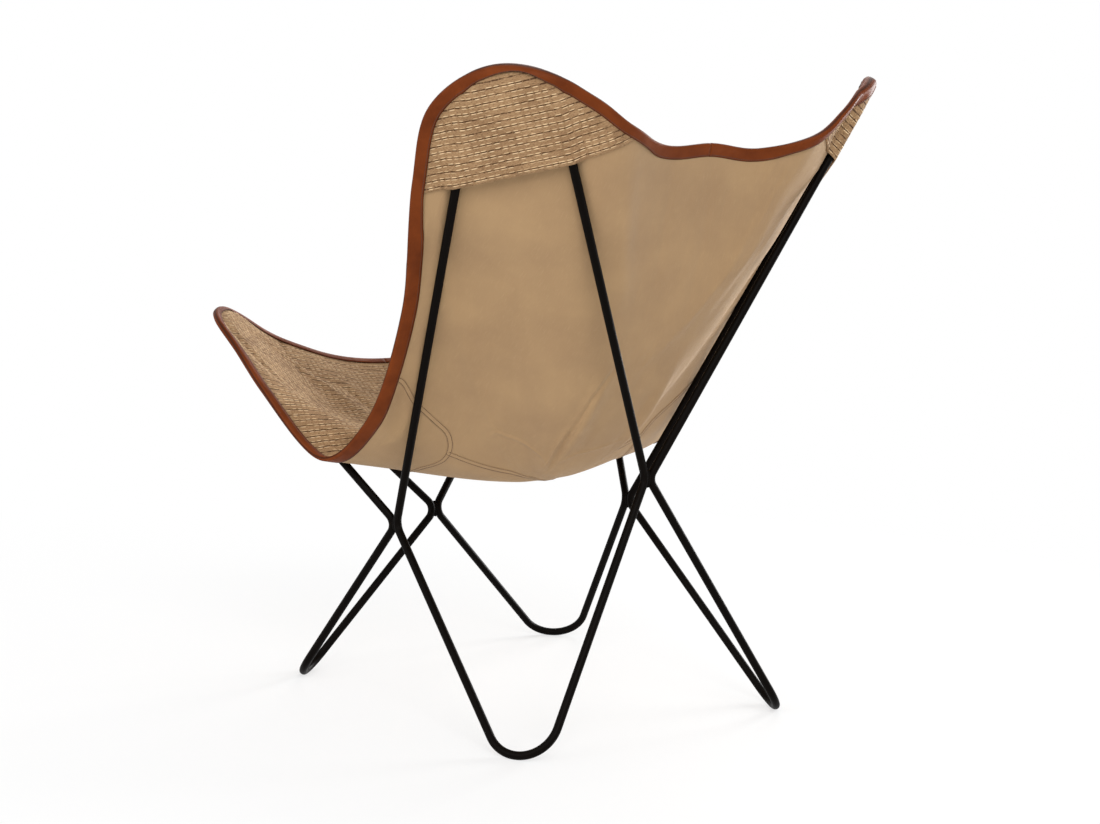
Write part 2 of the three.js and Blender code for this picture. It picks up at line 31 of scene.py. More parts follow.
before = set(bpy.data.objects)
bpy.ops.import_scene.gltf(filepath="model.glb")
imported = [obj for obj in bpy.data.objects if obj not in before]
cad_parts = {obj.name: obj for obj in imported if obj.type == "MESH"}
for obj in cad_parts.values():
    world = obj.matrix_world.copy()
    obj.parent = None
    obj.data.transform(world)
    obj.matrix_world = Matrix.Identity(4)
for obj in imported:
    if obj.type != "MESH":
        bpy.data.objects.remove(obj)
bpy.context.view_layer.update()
print("frame loaded")

up = np.array([0.0, 0.0, 1.0])


def smoothShare(value):
    share = np.clip(value, 0, 1)
    return share * share * (3 - 2 * share)


def unit(vectors):
    return vectors / np.maximum(np.linalg.norm(vectors, axis=-1, keepdims=True), 1e-12)


def dot(first, second):
    return (first * second).sum(axis=-1)


def mirrored(points):
    return np.asarray(points) * (-1, 1, 1)


def newObject(name, data):
    holder = bpy.data.objects.new(name, data)
    bpy.context.collection.objects.link(holder)
    return holder


# Camera

camera = {
    "place": (2.0286, 2.4735, 0.8631),
    "yaw": 230.217,  # degrees, like the next two
    "pitch": -7.746,
    "roll": 2.479,
    "lens": 69.55,  # millimetres, like the width of the sensor
    "sensor": 36,
}


def makeCamera():
    yaw, pitch, roll = (math.radians(camera[name]) for name in ("yaw", "pitch", "roll"))
    ahead = Vector((math.cos(pitch) * math.cos(yaw), math.cos(pitch) * math.sin(yaw), math.sin(pitch)))
    level = ahead.cross(Vector(up)).normalized()
    upright = level.cross(ahead)
    right = level * math.cos(roll) + upright * math.sin(roll)
    top = upright * math.cos(roll) - level * math.sin(roll)
    turn = Matrix((right, top, -ahead)).transposed().to_4x4()
    data = bpy.data.cameras.new("camera")
    data.lens = camera["lens"]
    data.sensor_width = camera["sensor"]
    data.sensor_fit = "HORIZONTAL"
    holder = newObject("camera", data)
    holder.matrix_world = Matrix.Translation(camera["place"]) @ turn
    bpy.context.scene.camera = holder


makeCamera()
print("camera placed")


# Node trees

def feed(tree, socket, value):
    # Links a socket to another one, or gives it a value
    if isinstance(value, bpy.types.NodeSocket):
        tree.links.new(value, socket)
    else:
        socket.default_value = value


def feedAll(tree, node, inputs):
    for name, value in inputs.items():
        feed(tree, node.inputs[name], value)


def addNode(tree, kind, inputs=None, **settings):
    node = tree.nodes.new(kind)
    for name, value in settings.items():
        setattr(node, name, value)
    feedAll(tree, node, inputs or {})
    return node


def linearColour(shown):
    # From the 0 to 255 values that a screen shows
    shares = [value / 255 for value in shown]
    return [share / 12.92 if share <= 0.04045 else ((share + 0.055) / 1.055) ** 2.4 for share in shares] + [1]


def newMaterial(name):
    material = bpy.data.materials.new(name)
    material.use_nodes = True
    tree = material.node_tree
    return material, tree, tree.nodes["Principled BSDF"]


def dressShader(tree, shader, tone, normal, roughness, specular):
    feedAll(tree, shader, {
        "Base Color": tone, "Normal": normal, "Roughness": roughness, "Specular IOR Level": specular})


def mathNode(tree, operation, *values):
    return addNode(tree, "ShaderNodeMath", dict(enumerate(values)), operation=operation).outputs[0]


def weightedSum(tree, weighted):
    total = 0
    for value, weight in weighted:
        total = mathNode(tree, "MULTIPLY_ADD", value, weight, total)
    return total


def fromNearest(tree, value):
    # How far a number lies from the nearest whole one, below or above 0
    return mathNode(tree, "SUBTRACT", mathNode(tree, "FRACT", mathNode(tree, "ADD", value, 0.5)), 0.5)


def mixColour(tree, factor, first, second):
    # A colour is a socket, a linear one as a list, or the tuple that a screen shows
    first, second = (linearColour(tone) if isinstance(tone, tuple) else tone for tone in (first, second))
    return addNode(tree, "ShaderNodeMix", {0: factor, 6: first, 7: second}, data_type="RGBA").outputs[2]


def noiseNode(tree, coordinates, scale, detail, roughness=0.5):
    return addNode(tree, "ShaderNodeTexNoise", {
        "Vector": coordinates, "Scale": scale, "Detail": detail, "Roughness": roughness}).outputs["Fac"]


def rampNode(tree, value, low, high, lowTo=0, highTo=1):
    inputs = {"Value": value, "From Min": low, "From Max": high, "To Min": lowTo, "To Max": highTo}
    return addNode(tree, "ShaderNodeMapRange", inputs).outputs["Result"]


def bumpNode(tree, height, distance, strength, before=None):
    inputs = {"Height": height, "Distance": distance, "Strength": strength}
    if before is not None:
        inputs["Normal"] = before
    return addNode(tree, "ShaderNodeBump", inputs).outputs["Normal"]


def objectCoordinates(tree):
    return addNode(tree, "ShaderNodeTexCoord").outputs["Object"]


def uvCoordinates(tree, name):
    return addNode(tree, "ShaderNodeUVMap", uv_map=name).outputs["UV"]


def scaledPlace(tree, coordinates, scale):
    return addNode(tree, "ShaderNodeMapping", {"Vector": coordinates, "Scale": scale}).outputs[0]


def separated(tree, vector):
    return addNode(tree, "ShaderNodeSeparateXYZ", {0: vector}).outputs


# Finishes. A noise is given by its scale, detail and roughness, a ramp by the two numbers that it reads and
# the two that it gives, and a bump by its height in metres and its strength.

canvasFinish = {
    "colour": (173, 141, 102),
    "patchColour": (160, 129, 94),
    "patchNoise": (11, 4, 0.55),
    "patchRamp": (0.3, 0.7),
    "slubColour": (184, 153, 114),
    "slubScale": (900, 60, 1),  # of the thick places in the yarn, per metre of cloth
    "slubNoise": (1, 2),
    "slubRamp": (0.56, 0.8, 0, 0.5),
    "yarnPitch": 0.0007,
    "yarnBump": (0.00012, 0.6),
    "unevenNoise": (45, 5, 0.6),
    "unevenBump": (0.0012, 0.35),
    "pullScale": (26, 12, 4),  # soft streaks down the back, per metre
    "pullNoise": (1, 3),
    "pullBump": (0.004, 0.5),
    "roughness": 0.88,
    "specular": 0.25,
    "sheen": 0.12,
}


def makeCanvas():
    finish = canvasFinish
    material, tree, shader = newMaterial("canvas")
    place = objectCoordinates(tree)
    cloth = uvCoordinates(tree, "cloth")
    patches = rampNode(tree, noiseNode(tree, place, *finish["patchNoise"]), *finish["patchRamp"])
    tone = mixColour(tree, patches, finish["colour"], finish["patchColour"])
    slubs = noiseNode(tree, scaledPlace(tree, cloth, finish["slubScale"]), *finish["slubNoise"])
    tone = mixColour(tree, rampNode(tree, slubs, *finish["slubRamp"]), tone, finish["slubColour"])
    turns = 2 * math.pi / finish["yarnPitch"]
    ways = separated(tree, cloth)
    warp, weft = (mathNode(tree, "SINE", mathNode(tree, "MULTIPLY", ways[way], turns)) for way in (0, 1))
    normal = bumpNode(tree, mathNode(tree, "MULTIPLY", warp, weft), *finish["yarnBump"])
    normal = bumpNode(tree, noiseNode(tree, place, *finish["unevenNoise"]), *finish["unevenBump"], normal)
    pulled = noiseNode(tree, scaledPlace(tree, place, finish["pullScale"]), *finish["pullNoise"])
    normal = bumpNode(tree, pulled, *finish["pullBump"], normal)
    dressShader(tree, shader, tone, normal, finish["roughness"], finish["specular"])
    feed(tree, shader.inputs["Sheen Weight"], finish["sheen"])
    return material


wovenFinish = {
    "rowPitch": 0.0094,  # from one gap between the wefts, painted dark with shade, to the next
    "halfGapRamp": (0.35, 0.62, 0.00038, 0.001178),
    "gapEdgeRamp": (-0.0002, 0.0002, 1, 0),
    "besideFloatRamp": (0.36, 0.47, 1.0, 0.45),
    "brokenGapRamp": (0.35, 0.55, 0.6, 1.0),
    "floatLength": 0.0098,
    "floatWidth": 0.0019,
    "floatHeight": 0.0005,
    "floatStep": 0.0031,  # between the two floats beside a gap
    "floatPeriod": 0.0098,
    "rowShift": 0.0004,  # how far each row of floats starts after the row before it
    "jitter": 0.0009,
    "leftOut": 0.2,  # share of the floats that lie hidden in the cloth
    "floatColours": ((226, 196, 154), (190, 157, 117)),
    "weftColours": ((168, 134, 97), (149, 116, 82)),
    # Colour of the painted shade in the gaps between the rows
    "gapShadeColour": (76, 49, 28),
    "unevenScale": (95, 330, 1),  # of the threads, per metre of cloth
    "breakNoise": (1, 2),
    "speckNoise": (3.1, 3, 0.6),
    "darkSpeckRamp": (0.52, 0.68, 0, 0.75),
    "lightSpeckRamp": (0.28, 0.42, 0.45, 0),
    "patchNoise": (30, 4),
    "patchRamp": (0.35, 0.65),
    "weftsPerRow": 5,
    "warpPitch": 0.0013,
    "heights": (0.5, 0.35, -2.2, 1.2),  # of weft, warp, gaps and specks, as shares of the bump's
    "threadBump": (0.0003, 0.8),
    "roughness": 0.82,
    "specular": 0.25,
    "fibreNoise": (900, 2),
    "fibreBump": (0.0002, 0.5),
    "floatRoughness": 0.7,
    "floatSpecular": 0.3,
}


def makeWoven():
    finish = wovenFinish
    material, tree, shader = newMaterial("wovenGround")
    clothMap = uvCoordinates(tree, "cloth")
    cloth = separated(tree, clothMap)
    row = mathNode(tree, "DIVIDE", cloth[1], finish["rowPitch"])
    rowsAway = mathNode(tree, "ABSOLUTE", fromNearest(tree, row))
    fromGap = mathNode(tree, "MULTIPLY", rowsAway, finish["rowPitch"])
    stretched = scaledPlace(tree, clothMap, finish["unevenScale"])
    breaks = noiseNode(tree, stretched, *finish["breakNoise"])
    # The gaps between the rows of wefts: sunk in the bump, and painted dark with shade
    fromEdge = mathNode(tree, "SUBTRACT", fromGap, rampNode(tree, breaks, *finish["halfGapRamp"]))
    gap = rampNode(tree, fromEdge, *finish["gapEdgeRamp"])
    rowNumber = mathNode(tree, "FLOOR", mathNode(tree, "ADD", row, 0.5))
    rowStart = mathNode(tree, "MULTIPLY", rowNumber, finish["rowShift"])
    column = mathNode(tree, "DIVIDE", mathNode(tree, "SUBTRACT", cloth[0], rowStart), finish["floatPeriod"])
    fromFloat = mathNode(tree, "ABSOLUTE", fromNearest(tree, column))
    beside = rampNode(tree, fromFloat, *finish["besideFloatRamp"])
    broken = mathNode(tree, "MULTIPLY", beside, rampNode(tree, breaks, *finish["brokenGapRamp"]))
    gap = mathNode(tree, "MULTIPLY", gap, broken)
    specks = noiseNode(tree, stretched, *finish["speckNoise"])
    patches = noiseNode(tree, objectCoordinates(tree), *finish["patchNoise"])
    tone = mixColour(tree, rampNode(tree, patches, *finish["patchRamp"]), *finish["weftColours"])
    # Dark specks take the painted shade colour of the gaps
    tone = mixColour(tree, rampNode(tree, specks, *finish["darkSpeckRamp"]), tone, finish["gapShadeColour"])
    tone = mixColour(tree, rampNode(tree, specks, *finish["lightSpeckRamp"]), tone, finish["floatColours"][0])
    # Painted shade in the gaps between the rows
    tone = mixColour(tree, gap, tone, finish["gapShadeColour"])
    weft = mathNode(tree, "SINE", mathNode(tree, "MULTIPLY", row, 2 * math.pi * finish["weftsPerRow"]))
    warp = mathNode(tree, "SINE", mathNode(tree, "MULTIPLY", cloth[0], 2 * math.pi / finish["warpPitch"]))
    height = weightedSum(tree, zip((weft, warp, gap, specks), finish["heights"]))
    normal = bumpNode(tree, height, *finish["threadBump"])
    dressShader(tree, shader, tone, normal, finish["roughness"], finish["specular"])
    return material


def makeFloats():
    finish = wovenFinish
    material, tree, shader = newMaterial("wovenFloats")
    share = addNode(tree, "ShaderNodeAttribute", attribute_name="tone").outputs["Fac"]
    tone = mixColour(tree, share, *finish["floatColours"])
    fibres = noiseNode(tree, objectCoordinates(tree), *finish["fibreNoise"])
    normal = bumpNode(tree, fibres, *finish["fibreBump"])
    dressShader(tree, shader, tone, normal, finish["floatRoughness"], finish["floatSpecular"])
    return material


leatherFinish = {
    "colour": (115, 53, 16),
    "deepColour": (94, 41, 11),
    # Colour of the darker edges, and of the painted shade along the fold's crest
    "edgeAndFoldShadeColour": (48, 24, 14),
    "cloudNoise": (22, 5, 0.6),
    "cloudRamp": (0.35, 0.68),
    "wideEdgeRamp": (0.965, 1.0),  # by share of the strip's width
    "narrowEdgeRamp": (0.03, 0.0),
    "crest": 0.36,  # share of the strip's width at which it is folded
    # Painted shade: a dark line along the fold's crest
    "foldShadeRamp": (0.02, 0.09, 0.8, 0),
    "grainScale": 950,
    "grainBump": (0.0002, 0.35),
    "creaseNoise": (120, 4),
    "creaseBump": (0.0006, 0.25),
    "roughnessRamp": (0, 1, 0.46, 0.58),
    "specular": 0.09,
}


def makeLeather():
    finish = leatherFinish
    material, tree, shader = newMaterial("leather")
    place = objectCoordinates(tree)
    across = separated(tree, uvCoordinates(tree, "strip"))[1]
    clouds = rampNode(tree, noiseNode(tree, place, *finish["cloudNoise"]), *finish["cloudRamp"])
    tone = mixColour(tree, clouds, finish["colour"], finish["deepColour"])
    edges = [rampNode(tree, across, *finish[name]) for name in ("wideEdgeRamp", "narrowEdgeRamp")]
    # The strip is darker at its two edges, and a dark line of painted shade runs along the fold's crest
    fromCrest = mathNode(tree, "ABSOLUTE", mathNode(tree, "SUBTRACT", across, finish["crest"]))
    crest = rampNode(tree, fromCrest, *finish["foldShadeRamp"])
    # Darker edges together with the painted shade along the fold
    worn = mathNode(tree, "MAXIMUM", mathNode(tree, "MAXIMUM", *edges), crest)
    tone = mixColour(tree, worn, tone, finish["edgeAndFoldShadeColour"])
    cells = addNode(tree, "ShaderNodeTexVoronoi", {
        "Scale": finish["grainScale"], "Vector": place}, feature="F1")
    normal = bumpNode(tree, cells.outputs["Distance"], *finish["grainBump"])
    normal = bumpNode(tree, noiseNode(tree, place, *finish["creaseNoise"]), *finish["creaseBump"], normal)
    roughness = rampNode(tree, clouds, *finish["roughnessRamp"])
    dressShader(tree, shader, tone, normal, roughness, finish["specular"])
    return material


threadFinish = {
    "twistNoise": (1400, 2),
    "twistRamp": (0.3, 0.7, 0, 0.4),
    "twistColour": [0.02, 0.01, 0.005, 1],
    "twistBump": (0.0001, 0.5),
    "roughness": 0.7,
    "specular": 0.5,
}


def makeThread(name, colour):
    finish = threadFinish
    material, tree, shader = newMaterial(name)
    twist = noiseNode(tree, objectCoordinates(tree), *finish["twistNoise"])
    tone = mixColour(tree, rampNode(tree, twist, *finish["twistRamp"]), colour, finish["twistColour"])
    normal = bumpNode(tree, twist, *finish["twistBump"])
    dressShader(tree, shader, tone, normal, finish["roughness"], finish["specular"])
    return material


rodFinish = {
    "colours": ((9, 6, 4), (12, 8, 6)),
    "cloudNoise": (18, 4),
    "cloudRamp": (0.35, 0.7),
    "grainNoise": (1500, 2),
    "grainBump": (0.00012, 0.35),
    "roughnessRamp": (0.3, 0.7, 0.42, 0.5),
    "specular": 0.04,
}


def makeRodCoat():
    finish = rodFinish
    material, tree, shader = newMaterial("powderCoat")
    place = objectCoordinates(tree)
    clouds = noiseNode(tree, place, *finish["cloudNoise"])
    tone = mixColour(tree, rampNode(tree, clouds, *finish["cloudRamp"]), *finish["colours"])
    normal = bumpNode(tree, noiseNode(tree, place, *finish["grainNoise"]), *finish["grainBump"])
    roughness = rampNode(tree, clouds, *finish["roughnessRamp"])
    dressShader(tree, shader, tone, normal, roughness, finish["specular"])
    return material


canvas = makeCanvas()
wovenGround = makeWoven()
wovenFloats = makeFloats()
leather = makeLeather()
seamThread = makeThread("seamThread", (70, 42, 22))
bindingThread = makeThread("bindingThread", (84, 44, 22))
powderCoat = makeRodCoat()
print("materials made")


# Rod frame

rods = {
    "originBack": 0.03234,  # how far the origin lies behind the side joints
    "diameter": 0.012,
    "weldGap": 0.001,
    "footWear": 0.0005,
    "kinkRadius": 0.02,
    "footRadius": 0.052,
    "rearArchRadius": 0.059,
    "frontArchRadius": 0.065,
    "sideJointOut": 0.229,
    "sideJointUp": 0.268,
    "rearJointBack": 0.294,
    "rearJointUp": 0.365,
    "frontJointAhead": 0.211,
    "frontJointUp": 0.237,
    "rearApex": (0.407, 0.438, 1.142),  # where the straight legs of an arch would meet
    "frontApex": (0.447, -0.409, 0.691),
    "rearFoot": (0.271, 0.382, 0),
    "frontFoot": (0.296, -0.217, 0),
    "sides": 28,
    "archSteps": 44,
    "footSteps": 36,
    "kinkSteps": 18,
    "solveRounds": 12,
}
rodRadius = rods["diameter"] / 2
sideHalfStep = (rods["diameter"] + rods["weldGap"]) / 2
toOrigin = np.array([0, -rods["originBack"], 0])


def bendAt(corner, before, after, radius):
    # A round bend in the corner between two straight runs
    toBefore = unit(before - corner)
    toAfter = unit(after - corner)
    inward = unit(toBefore + toAfter)
    halfAngle = math.acos(dot(toBefore, toAfter)) / 2
    return {
        "centre": corner + inward * radius / math.sin(halfAngle),
        "inward": inward,
        "plane": unit(np.cross(toBefore, toAfter)),
        "radius": radius,
        "turn": math.pi - 2 * halfAngle,
        "along": unit(toAfter - toBefore),
    }


def bendPlaces(bend, steps):
    # Points along a bend
    angles = (0.5 - np.arange(steps + 1) / steps) * bend["turn"]
    sideways = np.cross(bend["plane"], -bend["inward"])
    spokes = np.outer(np.cos(angles), -bend["inward"]) + np.outer(np.sin(angles), sideways)
    return bend["centre"] + spokes * bend["radius"]


def cornerForApex(apex, before, after, radius):
    # The corner whose bend passes through the apex
    corner = apex.copy()
    for _ in range(rods["solveRounds"]):
        bend = bendAt(corner, before, after, radius)
        corner = corner + apex - (bend["centre"] - bend["inward"] * radius)
    return corner


def footOnFloor(corner, before, after):
    # Moves a foot's corner up or down until the worn rod stands on the floor
    bend = bendAt(corner, before, after, rods["footRadius"])
    lowest = bend["centre"][2] - rods["footRadius"] * math.sqrt(1 - bend["plane"][2] ** 2)
    return corner + up * (rodRadius - rods["footWear"] - lowest)


def solveLoop(arch, sideApex, foot, middleApex, archRadius):
    # A closed loop of rod, from the corners of its arch and foot and the apexes of its kinks
    side, middle, floorCorner = sideApex, middleApex, foot
    for _ in range(rods["solveRounds"]):
        side = cornerForApex(sideApex, arch, floorCorner, rods["kinkRadius"])
        middle = cornerForApex(middleApex, floorCorner, arch, rods["kinkRadius"])
        floorCorner = footOnFloor(floorCorner, side, middle)
    archBend = bendAt(arch, middle, side, archRadius)
    sideBend = bendAt(side, arch, floorCorner, rods["kinkRadius"])
    footBend = bendAt(floorCorner, side, middle, rods["footRadius"])
    middleBend = bendAt(middle, floorCorner, arch, rods["kinkRadius"])
    route = np.vstack([
        bendPlaces(archBend, rods["archSteps"]),
        bendPlaces(sideBend, rods["kinkSteps"]),
        bendPlaces(footBend, rods["footSteps"]),
        bendPlaces(middleBend, rods["kinkSteps"]),
    ])
    return {"side": side, "middle": middle, "route": route,
            "archBend": archBend, "sideBend": sideBend, "middleBend": middleBend}


rearLoop = solveLoop(
    np.array(rods["rearApex"]),
    np.array([rods["sideJointOut"], sideHalfStep, rods["sideJointUp"]]),
    np.array(rods["rearFoot"]),
    np.array([sideHalfStep, rods["rearJointBack"], rods["rearJointUp"]]),
    rods["rearArchRadius"],
)
frontLoop = solveLoop(
    np.array(rods["frontApex"]),
    np.array([rods["sideJointOut"], -sideHalfStep, rods["sideJointUp"]]),
    np.array(rods["frontFoot"]),
    np.array([sideHalfStep, -rods["frontJointAhead"], rods["frontJointUp"]]),
    rods["frontArchRadius"],
)


def newTree(name, inputs):
    # A Geometry Nodes tree with a geometry in, a geometry out and the named number inputs
    tree = bpy.data.node_groups.new(name, "GeometryNodeTree")
    tree.interface.new_socket(name="Geometry", in_out="INPUT", socket_type="NodeSocketGeometry")
    for label in inputs:
        tree.interface.new_socket(name=label, in_out="INPUT", socket_type="NodeSocketFloat")
    tree.interface.new_socket(name="Geometry", in_out="OUTPUT", socket_type="NodeSocketGeometry")
    return tree, addNode(tree, "NodeGroupInput").outputs


def endTree(tree, geometry, material):
    real = addNode(tree, "GeometryNodeRealizeInstances", {"Geometry": geometry})
    smooth = addNode(tree, "GeometryNodeSetShadeSmooth", {"Geometry": real.outputs[0]})
    coat = addNode(tree, "GeometryNodeSetMaterial", {"Geometry": smooth.outputs[0], "Material": material})
    addNode(tree, "NodeGroupOutput", {"Geometry": coat.outputs[0]})
    return tree


def evaluatedMesh(source):
    bpy.context.view_layer.update()
    return bpy.data.meshes.new_from_object(source.evaluated_get(bpy.context.evaluated_depsgraph_get()))


def plainMesh(source, tree, values, name):
    # Runs a Geometry Nodes tree on an object and keeps the result as a plain mesh object
    modifier = source.modifiers.new("shape", "NODES")
    modifier.node_group = tree
    for item in tree.interface.items_tree:
        if item.in_out == "INPUT" and item.name in values:
            modifier[item.identifier] = values[item.name]
    mesh = evaluatedMesh(source)
    source.modifiers.remove(modifier)
    bpy.data.objects.remove(source)
    mesh.name = name
    return newObject(name, mesh)


def closedRoute(name, route):
    curve = bpy.data.curves.new(name, "CURVE")
    curve.dimensions = "3D"
    spline = curve.splines.new("POLY")
    spline.points.add(len(route) - 1)
    spline.points.foreach_set("co", np.hstack([route, np.ones((len(route), 1))]).ravel())
    spline.use_cyclic_u = True
    return newObject(name, curve)


def rodTree():
    # A tube along the route, worn flat where it would pass under the floor
    tree, given = newTree("rod", ["Radius", "Sides"])
    circle = addNode(tree, "GeometryNodeCurvePrimitiveCircle", {
        "Radius": given["Radius"], "Resolution": given["Sides"]})
    tube = addNode(tree, "GeometryNodeCurveToMesh", {
        "Curve": given["Geometry"], "Profile Curve": circle.outputs["Curve"]})
    place = separated(tree, addNode(tree, "GeometryNodeInputPosition").outputs[0])
    worn = addNode(tree, "ShaderNodeCombineXYZ", {
        "X": place["X"], "Y": place["Y"], "Z": mathNode(tree, "MAXIMUM", place["Z"], 0)})
    rod = addNode(tree, "GeometryNodeSetPosition", {
        "Geometry": tube.outputs["Mesh"], "Position": worn.outputs[0]})
    return endTree(tree, rod.outputs[0], powderCoat)


# Reading and writing meshes

def newMesh(name, points, faces):
    mesh = bpy.data.meshes.new(name)
    mesh.from_pydata(np.asarray(points).tolist(), [], faces)
    return mesh


def readPlaces(mesh):
    places = np.empty(len(mesh.vertices) * 3)
    mesh.vertices.foreach_get("co", places)
    return places.reshape(-1, 3)


def cornerPoints(mesh):
    # The point that each face's corner belongs to
    corner = np.empty(len(mesh.loops), int)
    mesh.loops.foreach_get("vertex_index", corner)
    return corner


def writeMap(mesh, name, flat):
    layer = mesh.uv_layers.get(name) or mesh.uv_layers.new(name=name)
    layer.data.foreach_set("uv", flat.ravel())


def readMap(mesh, name):
    flat = np.empty(len(mesh.loops) * 2)
    mesh.uv_layers[name].data.foreach_get("uv", flat)
    return flat.reshape(-1, 2)


def gridFaces(count, width, wrap):
    faces = []
    for row in range(count - 1):
        for column in range(width if wrap else width - 1):
            beside = (column + 1) % width
            faces.append((row * width + column, row * width + beside,
                          (row + 1) * width + beside, (row + 1) * width + column))
    return faces


def closedGrid(name, rows, material):
    # Tube through rings of points, with its ends capped and its faces outwards
    count, width = rows.shape[:2]
    faces = gridFaces(count, width, True)
    faces.append(tuple(range(width))[::-1])
    faces.append(tuple((count - 1) * width + column for column in range(width)))
    mesh = newMesh(name, rows.reshape(-1, 3), faces)
    closed = bmesh.new()
    closed.from_mesh(mesh)
    bmesh.ops.recalc_face_normals(closed, faces=closed.faces)
    closed.to_mesh(mesh)
    closed.free()
    mesh.shade_smooth()
    mesh.materials.append(material)
    return newObject(name, mesh)


def runLengths(points):
    # Length along a line up to each of its points
    return np.concatenate([[0], np.cumsum(np.linalg.norm(np.diff(points, axis=0), axis=1))])


def valuesAt(stations, lengths, values):
    # Rows of values at the stations, straight between the lengths given
    return np.column_stack([np.interp(stations, lengths, column) for column in values.T])


def nearestOn(points, line):
    # Index of the line's point nearest to each point, worked out in parts to save memory
    parts = np.array_split(points, len(points) // 1000 + 1)
    return np.concatenate([
        np.linalg.norm(part[:, None] - line[None], axis=2).argmin(axis=1) for part in parts])


def distanceTo(points, line):
    return np.linalg.norm(points - line[nearestOn(points, line)], axis=1)


# How the sling has settled in use, unevenly from side to side: soft pulls, and the right rear ear's edge that
# stands further beyond its arch

settled = {
    "pulls": [
        {"at": (0.23, -0.05, 0.342), "reach": 0.2, "by": (0, 0, 0.007)},
        {"at": (-0.012, 0.065, 0.333), "reach": 0.075, "by": (0, 0, 0.006)},
        {"at": (-0.3, -0.04, 0.367), "reach": 0.14, "by": (0, 0, -0.0075)},
        {"at": (-0.015, 0.355, 0.838), "reach": 0.075, "by": (0, 0, 0.0027)},
        {"at": (0.225, 0.394, 0.883), "reach": 0.045, "by": (0, 0, 0.0025)},
        {"at": (-0.19, 0.338, 0.752), "reach": 0.08, "by": (0.0052, -0.0052, 0.0037)},
    ],
    "earPlace": 4.0,  # any place of the edge on the rear ear
    # Round the arch, from below its inner leg over its top
    "flapAngles": (-150, -100, -50, -10, 30, 70, 120),
    "flapOut": (0, 0, 0.006, 0.017, 0.018, 0.006, 0),
    "flapForward": (0, 0.012, 0.008, -0.004, -0.007, -0.003, 0),
    "flapFrom": -0.03,
    "flapEase": 0.043,
    "flapTurnFrom": 0.004,
    "flapTurnEase": 0.014,
    "flapReach": 0.05,
    "rightPocketRise": 0.014,
    "rightPocketTilt": 4,  # degrees
}


def settle(piece):
    points = readPlaces(piece.data)
    moved = points.copy()
    for pull in settled["pulls"]:
        share = smoothShare(1 - np.linalg.norm(points - pull["at"], axis=1) / pull["reach"])
        moved += share[:, None] * pull["by"]
    ear = rearEar
    spoke = mirrored(points - toOrigin) - ear["centre"]
    along, across, lift = (dot(spoke, ear[way]) for way in ("upward", "toSide", "towardSitter"))
    beyond = besideRod(spoke + ear["centre"], np.full(len(points), settled["earPlace"]))
    reach = settled["flapReach"]
    share = smoothShare(2 - np.abs(lift) / reach) * smoothShare(2 - beyond / reach) * (points[:, 0] < 0)
    outShare = share * smoothShare((beyond - settled["flapFrom"]) / settled["flapEase"])
    turnShare = share * smoothShare((beyond - settled["flapTurnFrom"]) / settled["flapTurnEase"])
    angle = np.degrees(np.arctan2(across, along))
    out = np.interp(angle, settled["flapAngles"], settled["flapOut"]) * outShare
    forward = np.interp(angle, settled["flapAngles"], settled["flapForward"]) * turnShare
    outward = unit(along[:, None] * ear["upward"] + across[:, None] * ear["toSide"])
    moved += mirrored(outward * out[:, None] + ear["towardSitter"] * forward[:, None])
    piece.data.vertices.foreach_set("co", moved.ravel())
    piece.data.update()


def finishPiece(piece, slot, *nodes):
    if slot != "rod":
        settle(piece)
    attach(piece, "root")
    if nodes:
        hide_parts(*nodes)


def makeRods():
    tree = rodTree()
    loops = {"rear_left": rearLoop["route"], "rear_right": mirrored(rearLoop["route"]),
             "front_left": frontLoop["route"], "front_right": mirrored(frontLoop["route"])}
    for name, route in loops.items():
        holder = closedRoute("route", route + toOrigin)
        piece = plainMesh(holder, tree, {"Radius": rodRadius, "Sides": rods["sides"]}, f"{name}_rod")
        finishPiece(piece, "rod", f"{name}_rod_loop")


makeRods()
print("rods bent")


# Weld beads, laid in short ripples between two rods that touch

welds = {
    "length": 0.026,
    "width": 0.0105,
    "ripple": 0.00025,
    "ripples": 9,
    "steps": 72,
    "sides": 24,
}


def weldBead(name, centre, along, node):
    shares = np.linspace(-1, 1, welds["steps"] + 1)
    angles = np.arange(welds["sides"]) / welds["sides"] * 2 * math.pi
    outward = unit(np.cross(along, (centre * (1, 1, 0)) + 1e-6))
    across = np.cross(outward, along)
    rows = []
    for share in shares:
        ripple = welds["ripple"] * math.cos(share * welds["ripples"] * math.pi)
        radius = max((welds["width"] / 2 + ripple) * math.sqrt(max(1 - share * share, 0)), 1e-5)
        rows.append(centre + along * share * welds["length"] / 2 + radius * (
            np.outer(np.cos(angles), outward) + np.outer(np.sin(angles), across)))
    finishPiece(closedGrid(name, np.array(rows) + toOrigin, powderCoat), "rod", node)


def makeWelds():
    rearKiss = np.array([0, rods["rearJointBack"], rods["rearJointUp"]])
    frontKiss = np.array([0, -rods["frontJointAhead"], rods["frontJointUp"]])
    leftKiss = np.array([rods["sideJointOut"], 0, rods["sideJointUp"]])

    def upwards(along):
        return along if along[2] > 0 else -along

    rearAlong = upwards(rearLoop["middleBend"]["along"])
    frontAlong = upwards(frontLoop["middleBend"]["along"])
    sideAlong = unit(upwards(rearLoop["sideBend"]["along"]) + upwards(frontLoop["sideBend"]["along"]))
    weldBead("rear_bead", rearKiss, unit(rearAlong + mirrored(rearAlong)), "rear_weld")
    weldBead("front_bead", frontKiss, unit(frontAlong + mirrored(frontAlong)), "front_weld")
    weldBead("left_bead", leftKiss, sideAlong, "left_weld")
    weldBead("right_bead", mirrored(leftKiss), mirrored(sideAlong), "right_weld")


makeWelds()
print("welds laid")


# Sling surface. Out is 0 at the seat and 1 at the edge. Place counts the points of the edge, from the middle
# of the back round the left side to the middle of the front at 15, and on to 30.

